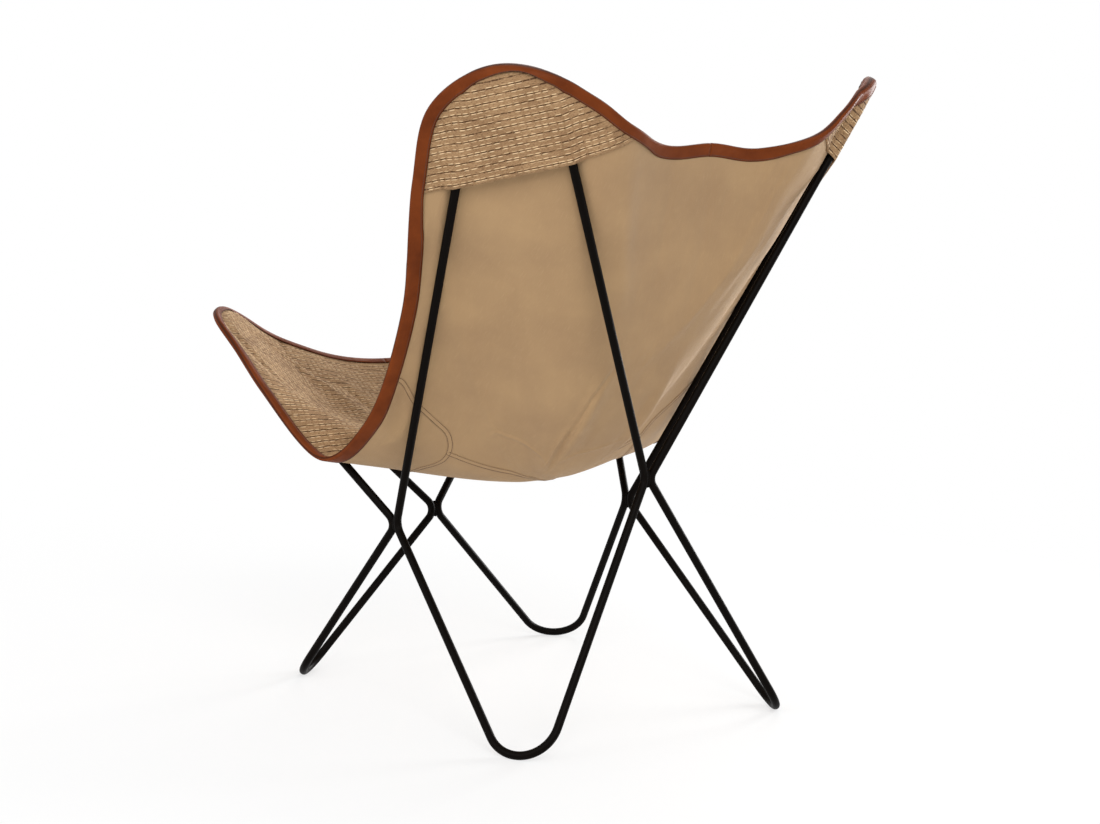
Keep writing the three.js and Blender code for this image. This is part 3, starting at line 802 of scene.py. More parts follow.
sling = {
    "seatUp": 0.324,
    "seatBack": 0.05,
    "clothThickness": 0.002,
    "liningThickness": 0.001,
    "leatherThickness": 0.0014,
    "clearance": 0.0003,
    "bindingOuterWidth": 0.02,
    "bindingRoom": 0.001,
    "bindingClearance": 0.0008,
    "earHold": 0.13,
    "rodMargin": 0.018,
    "rodEase": 0.03,
    "pocketSlack": 0.0015,
    "wrapDepth": 0.006,  # how far the cloth beyond the rods comes back round them
    "wrapFrom": 0.003,
    "wrapEase": 0.013,
    "rearPocketDepth": 0.143,
    "rearPocketTilt": 15,  # degrees, like the other one
    "frontPocketDepth": 0.13,
    "frontPocketTilt": 12,
    "rearPocketPlaces": (1.67, 6),
    "frontPocketPlaces": (10, 14.33),
    "columnsPerPoint": 20,
    "rings": 100,
    "rimEasePlace": 1.3,
    "rimEase": 0.6,  # places to each side over which the edge is rounded at the foot of an ear
    "rimEaseReach": 0.8,
    "rimBlend": ((-1, 0.1), (-0.5, 0.2), (0, 0.4), (0.5, 0.2), (1, 0.1)),  # steps aside, and weights
}
earLift = rodRadius + 2 * sling["clearance"] + sling["liningThickness"]
seatMiddle = np.array([0, sling["seatBack"], sling["seatUp"]])


def earPlane(loop):
    # The plane of a loop's arch, with its directions up, to the side and towards the sitter
    bend = loop["archBend"]
    upward = -bend["inward"]
    towardSitter = bend["plane"] if bend["plane"][2] > 0 else -bend["plane"]
    toSide = unit(loop["side"] - loop["middle"])
    toSide = unit(toSide - upward * dot(toSide, upward))
    return {"centre": bend["centre"], "radius": bend["radius"], "turn": bend["turn"],
            "upward": upward, "towardSitter": towardSitter, "toSide": toSide}


rearEar = earPlane(rearLoop)
frontEar = earPlane(frontLoop)


def earPoint(ear, degrees, overhang):
    reach = ear["radius"] + rodRadius + overhang
    angle = math.radians(degrees)
    return (ear["centre"] + ear["upward"] * reach * math.cos(angle) + ear["toSide"] * reach * math.sin(angle)
            + ear["towardSitter"] * earLift)


rearTop = rearEar["centre"] + rearEar["upward"] * rearEar["radius"]
frontTop = frontEar["centre"] + frontEar["upward"] * frontEar["radius"]
sideRear = np.array([rods["sideJointOut"], rearTop[1], sling["seatUp"]])
sideFront = np.array([rods["sideJointOut"], frontTop[1], sling["seatUp"]])

# Edge point, fullness of the cloth on its way there, and how far the ear holds the cloth in its arch's plane
edgeTable = [
    (rearTop * (0, 1.068, 0.910), 0.55, 0),
    (rearTop * (0.293, 1.084, 0.907), 0.52, 0),
    (rearTop * (0.496, 1.166, 0.930), 0.40, 0.2),
    (earPoint(rearEar, -52, 0.017), 0.34, 1),
    (earPoint(rearEar, 26, 0.007), 0.3, 1),
    (earPoint(rearEar, 85, 0.044), 0.32, 1),
    (rearTop * (1.151, 0.608, 0.837), 0.31, 1),
    (rearTop * (0.998, 0.385, 0.648), 0.34, 0.3),
    (sideRear * (1.376, 0.110, 1.315), 0.5, 0),
    (sideFront * (1.428, 0.168, 1.114), 0.5, 0),
    (frontTop * (1.119, 0.468, 0.847), 0.42, 0),
    (earPoint(frontEar, 45, 0.027), 0.38, 1),
    (earPoint(frontEar, -8, 0.012), 0.36, 1),
    (earPoint(frontEar, -60, 0.03), 0.4, 1),
    (frontTop * (0.400, 1.198, 0.878), 0.5, 0),
    (frontTop * (0, 1.206, 0.844), 0.5, 0),
]
lastPoint = len(edgeTable) - 1
placeCount = 2 * lastPoint
rightRows = edgeTable[lastPoint - 1:0:-1]
edgePlaces = np.array([row[0] for row in edgeTable] + [mirrored(row[0]) for row in rightRows])
edgeShapes = np.array([row[1:] for row in edgeTable + rightRows])

# Main folds, straight from one out and place to another, raised towards the sitter or sunk below 0
mainFolds = [
    {"from": (0.2, 2.5), "to": (0.72, 0.6), "placesWide": 0.7, "height": -0.005},
    {"from": (0.68, 0.95), "to": (1.02, 2.4), "placesWide": 0.55, "height": -0.006},
    {"from": (0.66, 13.6), "to": (1.04, 11.6), "placesWide": 0.6, "height": 0.005},
    {"from": (0.5, 14.1), "to": (0.94, 13.5), "placesWide": 0.5, "height": -0.004},
]


def closedCurve(points, place, centripetal):
    # Smooth closed curve through the points, at places counted from the first one
    count = len(points)
    low = np.floor(place).astype(int)
    share = (place - low)[..., None]
    before, start, end, after = (points[(low + step) % count] for step in (-1, 0, 1, 2))
    first, second, third = 1.0, 1.0, 1.0
    if centripetal:
        first, second, third = (np.sqrt(np.linalg.norm(way, axis=-1, keepdims=True))
                                for way in (start - before, end - start, after - end))
    leave = (start - before) / first - (end - before) / (first + second) + (end - start) / second
    arrive = (end - start) / second - (after - start) / (second + third) + (after - end) / third
    leave, arrive = leave * second, arrive * second
    return (start + leave * share + (3 * (end - start) - 2 * leave - arrive) * share ** 2
            + (2 * (start - end) + leave + arrive) * share ** 3)


def rimCurve(left):
    # The cloth's edge, rounded where it turns at the foot of each rear ear
    ease = sling["rimEase"] * np.exp(-((left - sling["rimEasePlace"]) / sling["rimEaseReach"]) ** 2)
    return sum(weight * closedCurve(edgePlaces, left + step * ease, True)
               for step, weight in sling["rimBlend"])


def earValue(left, name):
    # A value of the ear, rear or front, that each place belongs to
    isRear = left < lastPoint / 2 + 1
    rear, front = rearEar[name], frontEar[name]
    if np.ndim(rear):
        return np.where(isRear[..., None], rear, front)
    return np.where(isRear, rear, front)


def leftPlace(place):
    # The same place on the left side, and whether the given one lies on the right
    wrapped = np.mod(place, placeCount)
    onRight = wrapped > lastPoint
    return np.where(onRight, placeCount - wrapped, wrapped), onRight


def foldHeight(out, left):
    total = np.zeros_like(out)
    for fold in mainFolds:
        (fromOut, fromPlace), (toOut, toPlace) = fold["from"], fold["to"]
        along = (out - fromOut) / (toOut - fromOut)
        middle = fromPlace + (toPlace - fromPlace) * along
        across = np.abs(left - middle) / fold["placesWide"]
        total += fold["height"] * smoothShare(1 - np.abs(2 * along - 1)) * smoothShare(1 - across)
    return total


def besideRod(points, left):
    # Distance out from the middle of the arch's rod, below 0 between its legs
    spoke = points - earValue(left, "centre")
    along = dot(spoke, earValue(left, "upward"))
    across = np.abs(dot(spoke, earValue(left, "toSide")))
    radius = earValue(left, "radius")
    halfAngle = (math.pi - earValue(left, "turn")) / 2
    return np.where(
        along > across * np.tan(halfAngle),
        np.hypot(along, across) - radius,
        across * np.cos(halfAngle) + along * np.sin(halfAngle) - radius)


def rodNearness(points, left):
    return 1 - smoothShare((besideRod(points, left) - sling["rodMargin"]) / sling["rodEase"])


def slingPoint(out, place):
    out, place = np.broadcast_arrays(np.asarray(out, float), np.asarray(place, float))
    left, onRight = leftPlace(place)
    rim = rimCurve(left)
    shape = closedCurve(edgeShapes, left, False)
    belly = seatMiddle + (rim - seatMiddle) * (1, 1, 0) * shape[..., :1]
    far = out[..., None]
    points = seatMiddle * (1 - far) ** 2 + belly * 2 * far * (1 - far) + rim * far ** 2
    towardSitter = earValue(left, "towardSitter")
    points = points + towardSitter * foldHeight(out, left)[..., None]
    spoke = points - earValue(left, "centre")
    lift = dot(spoke, towardSitter)
    below = -dot(spoke, earValue(left, "upward"))
    held = smoothShare(2 - below / sling["earHold"]) * smoothShare(shape[..., 1])
    pressed = np.where(lift < earLift, np.maximum(held, rodNearness(points, left)), held)
    wrap = sling["wrapDepth"] * smoothShare((besideRod(points, left) - sling["wrapFrom"]) / sling["wrapEase"])
    points = points + towardSitter * ((earLift - lift) * pressed - wrap * held)[..., None]
    return np.where(onRight[..., None], points * (-1, 1, 1), points)


smallStep = 0.01


def slingNormal(out, place):
    out, place = np.broadcast_arrays(np.asarray(out, float), np.asarray(place, float))
    along = slingPoint(out, place + smallStep) - slingPoint(out, place - smallStep)
    outward = slingPoint(out, place) - slingPoint(np.maximum(out - smallStep, 0), place)
    normal = unit(np.cross(along, outward))
    return np.where((out < 2 * smallStep)[..., None], up, normal)


def edgeOuts(place):
    # Shares of the way out of the binding's inner edge and of the cloth's own edge
    length = np.linalg.norm(slingPoint(1, place) - slingPoint(1 - smallStep, place), axis=-1) / smallStep
    band = 1 - (sling["bindingRoom"] + sling["bindingOuterWidth"]) / length
    return band, 1 - sling["bindingRoom"] / length


def edgeWalk(places, distances):
    # Outs and places of the points at these distances in from the cloth's edge, square to it on the surface
    _, out = edgeOuts(places)
    place = places.copy()
    along = slingPoint(out, place + smallStep) - slingPoint(out, place - smallStep)
    inward = unit(np.cross(along, slingNormal(out, place)))
    back = slingPoint(out - smallStep, place) - slingPoint(out, place)
    inward = inward * np.sign(dot(inward, back))[:, None]
    outs, walked, done = [], [], 0.0
    for distance in distances:
        # One step over the surface
        outward = (slingPoint(out + smallStep, place) - slingPoint(out - smallStep, place)) / (2 * smallStep)
        along = (slingPoint(out, place + smallStep) - slingPoint(out, place - smallStep)) / (2 * smallStep)
        oo, aa, oa = dot(outward, outward), dot(along, along), dot(outward, along)
        oi, ai = dot(outward, inward), dot(along, inward)
        grid = oo * aa - oa ** 2
        step = distance - done
        out = out + step * (oi * aa - ai * oa) / grid
        place = place + step * (ai * oo - oi * oa) / grid
        done = distance
        outs.append(out)
        walked.append(place)
    return np.array(outs), np.array(walked), inward


liningUnder = sling["clearance"] / 2 + sling["liningThickness"]
clothOver = sling["clearance"] / 2 + sling["clothThickness"]
pocketForm = {
    "rimRoom": 0.0015,
    "leastRim": 0.004,
    "flatFrom": 0.002,  # beyond the rod, where a pocket with a wide edge starts to close
    "flatEase": 0.02,
    "wideRim": 0.014,
    "wideRimEase": 0.014,
}


def pocketDepth(out, place):
    # How far a pocket's inner face lies under the surface: round the rod, then flat beside it
    left, _ = leftPlace(np.asarray(place, float))
    here = slingPoint(out, left)
    form = pocketForm
    closed = liningUnder + sling["clearance"]
    overArch = dot(here - earValue(left, "centre"), earValue(left, "towardSitter"))
    opened = overArch + rodRadius + sling["pocketSlack"]
    _, edge = edgeOuts(left)
    rim = besideRod(slingPoint(edge, left), left)
    beside = besideRod(here, left)
    reached = np.maximum(beside, 0) / np.maximum(rim + form["rimRoom"], form["leastRim"])
    overRod = np.sqrt(np.clip(1 - reached ** 2, 0, 1))
    flat = 1 - smoothShare((beside - form["flatFrom"]) / form["flatEase"])
    share = overRod + (flat - overRod) * smoothShare((rim - form["wideRim"]) / form["wideRimEase"])
    return closed + np.maximum(opened - closed, 0) * share


def pocketUp(out, place):
    # Left side only
    place = np.asarray(place, float)
    nearness = rodNearness(slingPoint(out, place), place)[..., None]
    return unit(slingNormal(out, place) * (1 - nearness) + earValue(place, "towardSitter") * nearness)


# Small folds on top of the main ones, each along a route of outs and places. They are raised towards the
# sitter, with widths and heights in metres. A soft one marked both is drawn again on the other side.

softFolds = [
    {"route": [(0.16, 2.6), (0.62, 0.8)], "width": 0.012, "height": -0.0022, "both": True},
    {"route": [(0.2, 1.3), (0.5, 0.55)], "width": 0.009, "height": 0.0012, "both": True},
    {"route": [(0.22, 2.9), (0.36, 3.6)], "width": 0.008, "height": -0.001, "both": True},
    {"route": [(0.62, 29.9), (0.7, 29.45), (0.76, 29.1), (0.82, 28.75), (0.87, 28.55), (0.95, 28.1)],
     "width": 0.017, "height": -0.0105, "steepSide": (-1, 0, 0), "softWidth": 0.07},
    {"route": [(0.74, 1.1), (0.97, 2.15)], "width": 0.016, "height": -0.002},
    {"route": [(0.99, 0.68), (0.8, 0.42)], "width": 0.009, "height": 0.0011},
    {"route": [(0.99, -0.05), (0.84, -0.4), (0.7, -0.6)], "width": 0.009, "height": 0.0012},
    {"route": [(0.98, -1.1), (0.9, -1.4)], "width": 0.008, "height": 0.0009},
    {"route": [(0.7, -0.5), (0.5, 0.1)], "width": 0.01, "height": 0.0011},
    {"route": [(0.62, -1.0), (0.45, -0.6)], "width": 0.009, "height": 0.0011},
    {"route": [(0.97, 11.5), (0.938, 12.1), (0.9, 12.7), (0.861, 13.12), (0.81, 13.45), (0.742, 13.57),
               (0.6, 13.5)], "width": 0.009, "height": 0.0045, "both": True},
    {"route": [(0.86, 13.6), (0.81, 13.85), (0.74, 13.9), (0.66, 13.85), (0.56, 13.7)],
     "width": 0.008, "height": -0.0045, "both": True},
    {"route": [(0.5, 13.1), (0.85, 12.4)], "width": 0.014, "height": -0.0018, "both": True},
]
fineFolds = [
    {"route": [(0.19, 2.6), (0.3, 2.3), (0.393, 2.06), (0.547, 1.31), (0.64, 0.7)],
     "width": 0.0045, "height": 0.0045},
    {"route": [(0.235, 2.75), (0.34, 2.5), (0.44, 2.15)], "width": 0.003, "height": -0.002},
    {"route": [(0.3, 2.2), (0.345, 1.0), (0.369, 0.0), (0.4, -1.2)], "width": 0.0028, "height": -0.0016},
    {"route": [(0.5, 6.8), (0.4, 5.2), (0.31, 3.06), (0.26, 2.5)], "width": 0.0032, "height": -0.0016},
]
foldSteps = 48
fineFoldSteps = 220
foldEnds = 0.7  # below 1, a fold keeps its height nearer to its ends
foldFade = 0.03  # share of the way out over which the soft folds end before the edge


def foldRoute(fold, steps):
    route = np.array(fold["route"])
    return slingPoint(*valuesAt(np.linspace(0, len(route) - 1, steps), range(len(route)), route).T)


def foldsOver(points, folds, steps):
    # Height of the folds at each point
    total = np.zeros(len(points))
    ends = np.sin(np.pi * np.linspace(0, 1, steps)) ** foldEnds
    for fold in folds:
        route = foldRoute(fold, steps)
        softWidth = fold.get("softWidth", fold["width"])
        reach = 3 * softWidth
        for line in (route, mirrored(route)) if fold.get("both") else (route,):
            near = ((points > line.min(axis=0) - reach) & (points < line.max(axis=0) + reach)).all(axis=1)
            index = nearestOn(points[near], line)
            offset = points[near] - line[index]
            gap = np.linalg.norm(offset, axis=1)
            if "steepSide" in fold:
                steep = dot(offset, np.array(fold["steepSide"])) > 0
                share = np.exp(-gap / np.where(steep, fold["width"], softWidth))
            else:
                share = np.exp(-(gap / fold["width"]) ** 2)
            total[near] += fold["height"] * ends[index] * share
    return total


def slingGrid():
    # Points, normals and faces of the whole surface, with one point at the seat
    columns = placeCount * sling["columnsPerPoint"]
    places = np.arange(columns) / sling["columnsPerPoint"]
    _, edge = edgeOuts(places)
    shares = (np.arange(1, sling["rings"] + 1) / sling["rings"])[:, None]
    outs = shares * edge[None]
    everyPlace = np.broadcast_to(places, outs.shape)
    points = slingPoint(outs, everyPlace).reshape(-1, 3)
    normals = slingNormal(outs, everyPlace).reshape(-1, 3)
    fade = smoothShare((1 - outs.ravel()) / foldFade)
    points = points + normals * (foldsOver(points, softFolds, foldSteps) * fade)[:, None]
    centre = len(points)
    faces = [(centre, (column + 1) % columns, column) for column in range(columns)]
    faces += gridFaces(sling["rings"], columns, True)
    return np.vstack([points, seatMiddle]), np.vstack([normals, up]), faces


surfacePoints, surfaceNormals, surfaceFaces = slingGrid()
print("sling shaped")


# Seams in plan. A point holds its shares of the side joint's distance out, and of the arches' distance back
# or ahead.

wingOutline = [
    (1.9, 0.265), (1.28, 0.248), (1, 0.234), (0.865, 0.22), (0.812, 0.19), (0.803, 0.15), (0.83, 0.1),
    (0.87, 0.05), (0.93, -0.3), (0.96, -0.65), (0.93, -1), (0.87, -1.4), (1.9, -1.4),
]
backSeam = [(-0.81, 0.19), (-0.4, 0.205), (0, 0.2), (0.4, 0.188), (0.81, 0.174)]
seamSteps = 6  # steps between two points of a seam, along a smooth curve


def planPoints(shares):
    return np.array([(out * rods["sideJointOut"], back * (rearTop[1] if back > 0 else -frontTop[1]))
                     for out, back in shares])


def smoothPlan(points):
    # Open curve through the points
    padded = np.vstack([2 * points[0] - points[1], points, 2 * points[-1] - points[-2]])
    stations = np.concatenate([
        np.arange(low, low + 1, 1 / seamSteps) for low in range(1, len(points))] + [[len(points)]])
    stations = np.minimum(stations, len(points) - 1e-9)
    return closedCurve(padded, stations, True)


wingSeam = smoothPlan(planPoints(wingOutline[:-1]))
wingArea = np.vstack([wingSeam, planPoints(wingOutline[-1:])])
middleSeam = smoothPlan(planPoints(backSeam))
seamLines = (wingSeam, wingSeam * (-1, 1), middleSeam)


def insideOutline(points, outline):
    x, y = points[:, 0], points[:, 1]
    inside = np.zeros(len(points), bool)
    for (x1, y1), (x2, y2) in zip(outline, np.roll(outline, -1, axis=0)):
        crosses = (y1 > y) != (y2 > y)
        reach = x1 + (y - y1) * (x2 - x1) / (y2 - y1 if y2 != y1 else 1e-12)
        inside ^= crosses & (x < reach)
    return inside


cutReach = 0.012  # distance from a seam within which faces are cut
fineReach = 0.007  # distance from a fine fold within which the cloth's mesh is made finer
fineCuts = 3


def cutAlong(shape, route):
    # Splits the faces along a route in plan
    centres = np.array([face.calc_center_median() for face in shape.faces])[:, :2]
    close = distanceTo(centres, route) < 3 * cutReach
    nearby = dict.fromkeys(face for face, isClose in zip(shape.faces, close) if isClose)
    for start, end in zip(route[:-1], route[1:]):
        length = np.linalg.norm(end - start)
        along = (end - start) / length
        beside = np.array([along[1], -along[0]])
        faces = []
        for face in nearby:
            centre = face.calc_center_median()
            x, y = centre.x - start[0], centre.y - start[1]
            aside, ahead = x * beside[0] + y * beside[1], x * along[0] + y * along[1]
            if abs(aside) < cutReach and -cutReach < ahead < length + cutReach:
                faces.append(face)
        verts = dict.fromkeys(vert for face in faces for vert in face.verts)
        edges = dict.fromkeys(edge for face in faces for edge in face.edges)
        found = bmesh.ops.bisect_plane(shape, geom=[*verts, *edges, *faces], dist=1e-6,
                                       plane_co=(*start, 0), plane_no=(*beside, 0))
        nearby.update(dict.fromkeys(part for part in found["geom"] if isinstance(part, bmesh.types.BMFace)))


def cutSling():
    # The surface, cut into its four panels: points, normals and faces of each
    mesh = newMesh("surface", surfacePoints, surfaceFaces)
    shape = bmesh.new()
    shape.from_mesh(mesh)
    layer = shape.verts.layers.float_vector.new("up")
    for vert, normal in zip(shape.verts, surfaceNormals):
        vert[layer] = normal
    for route in seamLines:
        cutAlong(shape, route)
    lines = np.concatenate([foldRoute(fold, foldSteps) for fold in fineFolds])
    near = distanceTo(np.array([vert.co for vert in shape.verts]), lines) < fineReach
    shape.verts.index_update()
    edges = [edge for edge in shape.edges if near[edge.verts[0].index] or near[edge.verts[1].index]]
    bmesh.ops.subdivide_edges(shape, edges=edges, cuts=fineCuts, use_grid_fill=True)
    shape.verts.index_update()
    cutPoints = np.array([vert.co for vert in shape.verts])
    cutNormals = unit(np.array([vert[layer] for vert in shape.verts]))
    cutPoints = cutPoints + cutNormals * foldsOver(cutPoints, fineFolds, fineFoldSteps)[:, None]
    cutFaces = [tuple(vert.index for vert in face.verts) for face in shape.faces]
    centres = np.array([face.calc_center_median() for face in shape.faces])[:, :2]
    shape.free()
    bpy.data.meshes.remove(mesh)
    onLeft = insideOutline(centres, wingArea)
    onRight = insideOutline(centres * (-1, 1), wingArea)
    behind = centres[:, 1] > np.interp(centres[:, 0], middleSeam[:, 0], middleSeam[:, 1])
    owners = np.where(onLeft, "left_wing", np.where(onRight, "right_wing", np.where(behind, "back", "seat")))
    panels = {}
    for name in ("back", "seat", "left_wing", "right_wing"):
        own = [face for face, owner in zip(cutFaces, owners) if owner == name]
        used = sorted({index for face in own for index in face})
        renamed = {old: new for new, old in enumerate(used)}
        panels[name] = (cutPoints[used], cutNormals[used], [tuple(renamed[i] for i in face) for face in own])
    return panels


def mapLike(piece, flattened):
    # Gives a sheet the flattened places of another with the same points
    writeMap(piece.data, "cloth", flattened[cornerPoints(piece.data)])


def unwrapPiece(piece, rowDirection):
    # Flattens a sheet's surface to metres of cloth, with its rows along a given direction
    bpy.context.view_layer.objects.active = piece
    piece.select_set(True)
    piece.data.uv_layers.new(name="cloth")
    bpy.ops.object.mode_set(mode="EDIT")
    bpy.ops.mesh.select_all(action="SELECT")
    bpy.ops.uv.unwrap(method="ANGLE_BASED", margin=0)
    bpy.ops.object.mode_set(mode="OBJECT")
    piece.select_set(False)
    mesh = piece.data
    given = readMap(mesh, "cloth") @ (1, 1j)
    points, corner = readPlaces(mesh), cornerPoints(mesh)
    starts = np.array([face.loop_start for face in mesh.polygons])
    normals = np.array([face.normal for face in mesh.polygons])
    row = unit(rowDirection - normals * dot(normals, rowDirection)[:, None])
    column = np.cross(normals, row)
    wanted, flat = [], []
    for step in (1, 2):
        edge = points[corner[starts + step]] - points[corner[starts]]
        wanted.append(dot(edge, row) + 1j * dot(edge, column))
        flat.append(given[starts + step] - given[starts])
    wanted, flat = np.concatenate(wanted), np.concatenate(flat)
    size = (np.abs(flat) ** 2).sum()
    straight, flipped = (flat.conj() * wanted).sum() / size, (flat * wanted).sum() / size
    turned = given * straight if abs(straight) > abs(flipped) else given.conj() * flipped
    uv = np.column_stack([turned.real, turned.imag])
    writeMap(mesh, "cloth", uv)
    print(piece.name, "cloth", (uv.max(axis=0) - uv.min(axis=0)).round(3), "area",
          round(sum(face.area for face in mesh.polygons), 4))
    flattened = np.zeros((len(points), 2))
    flattened[corner] = uv
    return flattened


def sheetObject(name, points, faces, material):
    mesh = newMesh(name, points + toOrigin, faces)
    mesh.shade_smooth()
    mesh.materials.append(material)
    return newObject(name, mesh)


def thicken(piece, thickness):
    # Gives a sheet its thickness, away from the side that its faces show
    modifier = piece.modifiers.new("thickness", "SOLIDIFY")
    modifier.thickness = thickness
    modifier.offset = -1
    modifier.use_even_offset = False
    mesh = evaluatedMesh(piece)
    piece.modifiers.remove(modifier)
    old = piece.data
    piece.data = mesh
    bpy.data.meshes.remove(old)
    mesh.name = piece.name


# Strands: short raised threads, each with its own directions up and along

strandForm = {
    "segments": 5,
    "rings": 3,
    "sizes": (0.8, 1.1),  # least and greatest share of the given length
    "sizeSeed": 3,
    "toneSeed": 7,
}


def strandTree(material):
    # A rounded thread on each point, turned by the point's directions up and along
    form = strandForm
    tree, given = newTree("strands", ["Length", "Width", "Height"])
    along, upward = (addNode(tree, "GeometryNodeInputNamedAttribute", {"Name": name},
                             data_type="FLOAT_VECTOR") for name in ("along", "up"))
    ball = addNode(tree, "GeometryNodeMeshUVSphere", {
        "Segments": form["segments"], "Rings": form["rings"], "Radius": 0.5})
    thread = addNode(tree, "GeometryNodeTransform", {
        "Geometry": ball.outputs["Mesh"], "Rotation": (0, math.pi / 2, 0)})
    size = addNode(tree, "FunctionNodeRandomValue", {
        2: form["sizes"][0], 3: form["sizes"][1], "Seed": form["sizeSeed"]}, data_type="FLOAT")
    scale = addNode(tree, "ShaderNodeCombineXYZ", {
        "X": mathNode(tree, "MULTIPLY", given["Length"], size.outputs[1]),
        "Y": given["Width"], "Z": given["Height"]})
    firstTurn = addNode(tree, "FunctionNodeAlignRotationToVector", {
        "Vector": along.outputs["Attribute"]}, axis="X")
    secondTurn = addNode(tree, "FunctionNodeAlignRotationToVector", {
        "Rotation": firstTurn.outputs["Rotation"], "Vector": upward.outputs["Attribute"]},
        axis="Z", pivot_axis="X")
    placed = addNode(tree, "GeometryNodeInstanceOnPoints", {
        "Points": given["Geometry"], "Instance": thread.outputs["Geometry"],
        "Rotation": secondTurn.outputs["Rotation"], "Scale": scale.outputs[0]})
    chance = addNode(tree, "FunctionNodeRandomValue", {"Seed": form["toneSeed"]}, data_type="FLOAT")
    store = addNode(tree, "GeometryNodeStoreNamedAttribute", {
        "Geometry": placed.outputs["Instances"], "Name": "tone", "Value": chance.outputs[1]},
        data_type="FLOAT", domain="INSTANCE")
    return endTree(tree, store.outputs["Geometry"], material)


def strands(name, places, upward, along, material, slot, sizes):
    mesh = newMesh(name, places, [])
    for label, values in (("up", upward), ("along", along)):
        attribute = mesh.attributes.new(label, "FLOAT_VECTOR", "POINT")
        attribute.data.foreach_set("vector", np.ascontiguousarray(values).ravel())
    piece = plainMesh(newObject(name, mesh), strandTree(material), sizes, name)
    finishPiece(piece, slot)
    print(name, len(places), "strands")
    return piece


def randomShare(first, second):
    # The same pseudo-random share for the same two whole numbers
    return math.modf(math.sin(first * 12.9898 + second * 78.233) * 43758.5453)[0] % 1


def clothLattice(piece):
    # Places of the floats on a flattened sheet: points, normals and row directions
    mesh = piece.data
    mesh.calc_loop_triangles()
    loops = np.array([triangle.loops for triangle in mesh.loop_triangles])
    uv = readMap(mesh, "cloth")[loops]
    verts = np.array([triangle.vertices for triangle in mesh.loop_triangles])
    points = readPlaces(mesh)[verts]
    normals = np.array([vert.normal for vert in mesh.vertices])[verts]
    flat = np.concatenate([uv, np.zeros(uv.shape[:2] + (1,))], axis=2).reshape(-1, 3)
    search = BVHTree.FromPolygons(flat.tolist(), np.arange(len(flat)).reshape(-1, 3).tolist())
    low, high = uv.reshape(-1, 2).min(axis=0), uv.reshape(-1, 2).max(axis=0)
    period, pitch = wovenFinish["floatPeriod"], wovenFinish["rowPitch"]
    jitter, step = wovenFinish["jitter"], wovenFinish["floatStep"]
    hits = []
    for row in range(math.floor(low[1] / pitch), math.ceil(high[1] / pitch) + 1):
        first = (row * wovenFinish["rowShift"]) % period
        for column in range(math.floor((low[0] - first) / period), math.ceil((high[0] - first) / period) + 1):
            for side in (-1, 1):
                chance = randomShare(row * 2 + side, column)
                if randomShare(column * 2 + side, row) < wovenFinish["leftOut"]:
                    continue
                spot = (first + column * period + (chance - 0.5) * 2 * jitter, row * pitch + side * step / 2)
                _, _, index, _ = search.ray_cast(Vector((*spot, 1)), Vector((0, 0, -1)))
                if index is not None:
                    hits.append((index, *spot))
    hits = np.array(hits)
    index = hits[:, 0].astype(int)
    a, b, c = uv[index, 0], uv[index, 1], uv[index, 2]
    matrix = np.stack([b - a, c - a], axis=2)
    shares = np.linalg.solve(matrix, (hits[:, 1:] - a)[..., None])[..., 0]
    weights = np.column_stack([1 - shares.sum(axis=1), shares])
    places = np.einsum("ij,ijk->ik", weights, points[index])
    upward = unit(np.einsum("ij,ijk->ik", weights, normals[index]))
    stretch = np.stack([points[index, 1] - points[index, 0], points[index, 2] - points[index, 0]], axis=2)
    rowWay = np.tile(np.array([1.0, 0.0]), (len(index), 1))[..., None]
    along = unit((stretch @ np.linalg.solve(matrix, rowWay))[..., 0])
    return places, upward, along


rimSteps = 900
rimPlaces = np.linspace(0, placeCount, rimSteps, endpoint=False)
rimRoute = slingPoint(edgeOuts(rimPlaces)[1], rimPlaces) + toOrigin


def weaveFloats(name, sheet, rimMargin, keep):
    # The raised threads of a woven sheet, away from its edge
    places, upward, along = clothLattice(sheet)
    clear = (distanceTo(places, rimRoute) > rimMargin) & keep(places)
    places, upward, along = places[clear], upward[clear], along[clear]
    return strands(name, places, upward, along, wovenFloats, "cloth", {
        "Length": wovenFinish["floatLength"], "Width": wovenFinish["floatWidth"],
        "Height": wovenFinish["floatHeight"] * 2})


# Flat seams of the lining: a raised band with two rows of stitches

seams = {
    "bandWidth": 0.0092,
    "bandHeight": 0.0007,
    "section": [(-1, -0.2), (-1, 0.55), (-0.86, 1), (-0.5, 0.8), (0, 1.05), (0.5, 0.8), (0.86, 1), (1, 0.55),
                (1, -0.2)],  # shares of half the width and of the height
    "rowStep": 0.0062,  # between the two rows of stitches
    "stitchLift": 0.9,
    "step": 0.004,
    "rimMargin": 0.004,
}
stitches = {
    "pitch": 0.0036,
    "length": 0.0042,
    "width": 0.0014,
    "height": 0.001,
    "sink": 0.0001,
}
surfaceTriangles = np.array([part for face in surfaceFaces for part in (
    [face] if len(face) == 3 else [(face[0], face[1], face[2]), (face[0], face[2], face[3])])])
surfaceTree = BVHTree.FromPolygons(surfacePoints.tolist(), surfaceTriangles.tolist())


def normalAt(spot, index):
    # The smooth normal at a spot on one of the surface's triangles
    corners = surfaceTriangles[index]
    a, b, c = surfacePoints[corners]
    edges = np.stack([b - a, c - a], axis=1)
    shares = np.linalg.lstsq(edges, np.array(spot) - a, rcond=None)[0]
    return unit(np.array([1 - shares.sum(), *shares]) @ surfaceNormals[corners])


def dropped(plan):
    # Points and normals of the surface straight over points in plan
    found = []
    for x, y in plan:
        spot, _, index, _ = surfaceTree.ray_cast(Vector((x, y, -1)), Vector((0, 0, 1)))
        if index is not None:
            found.append((np.array(spot), normalAt(spot, index)))
    return np.array([row[0] for row in found]), np.array([row[1] for row in found])


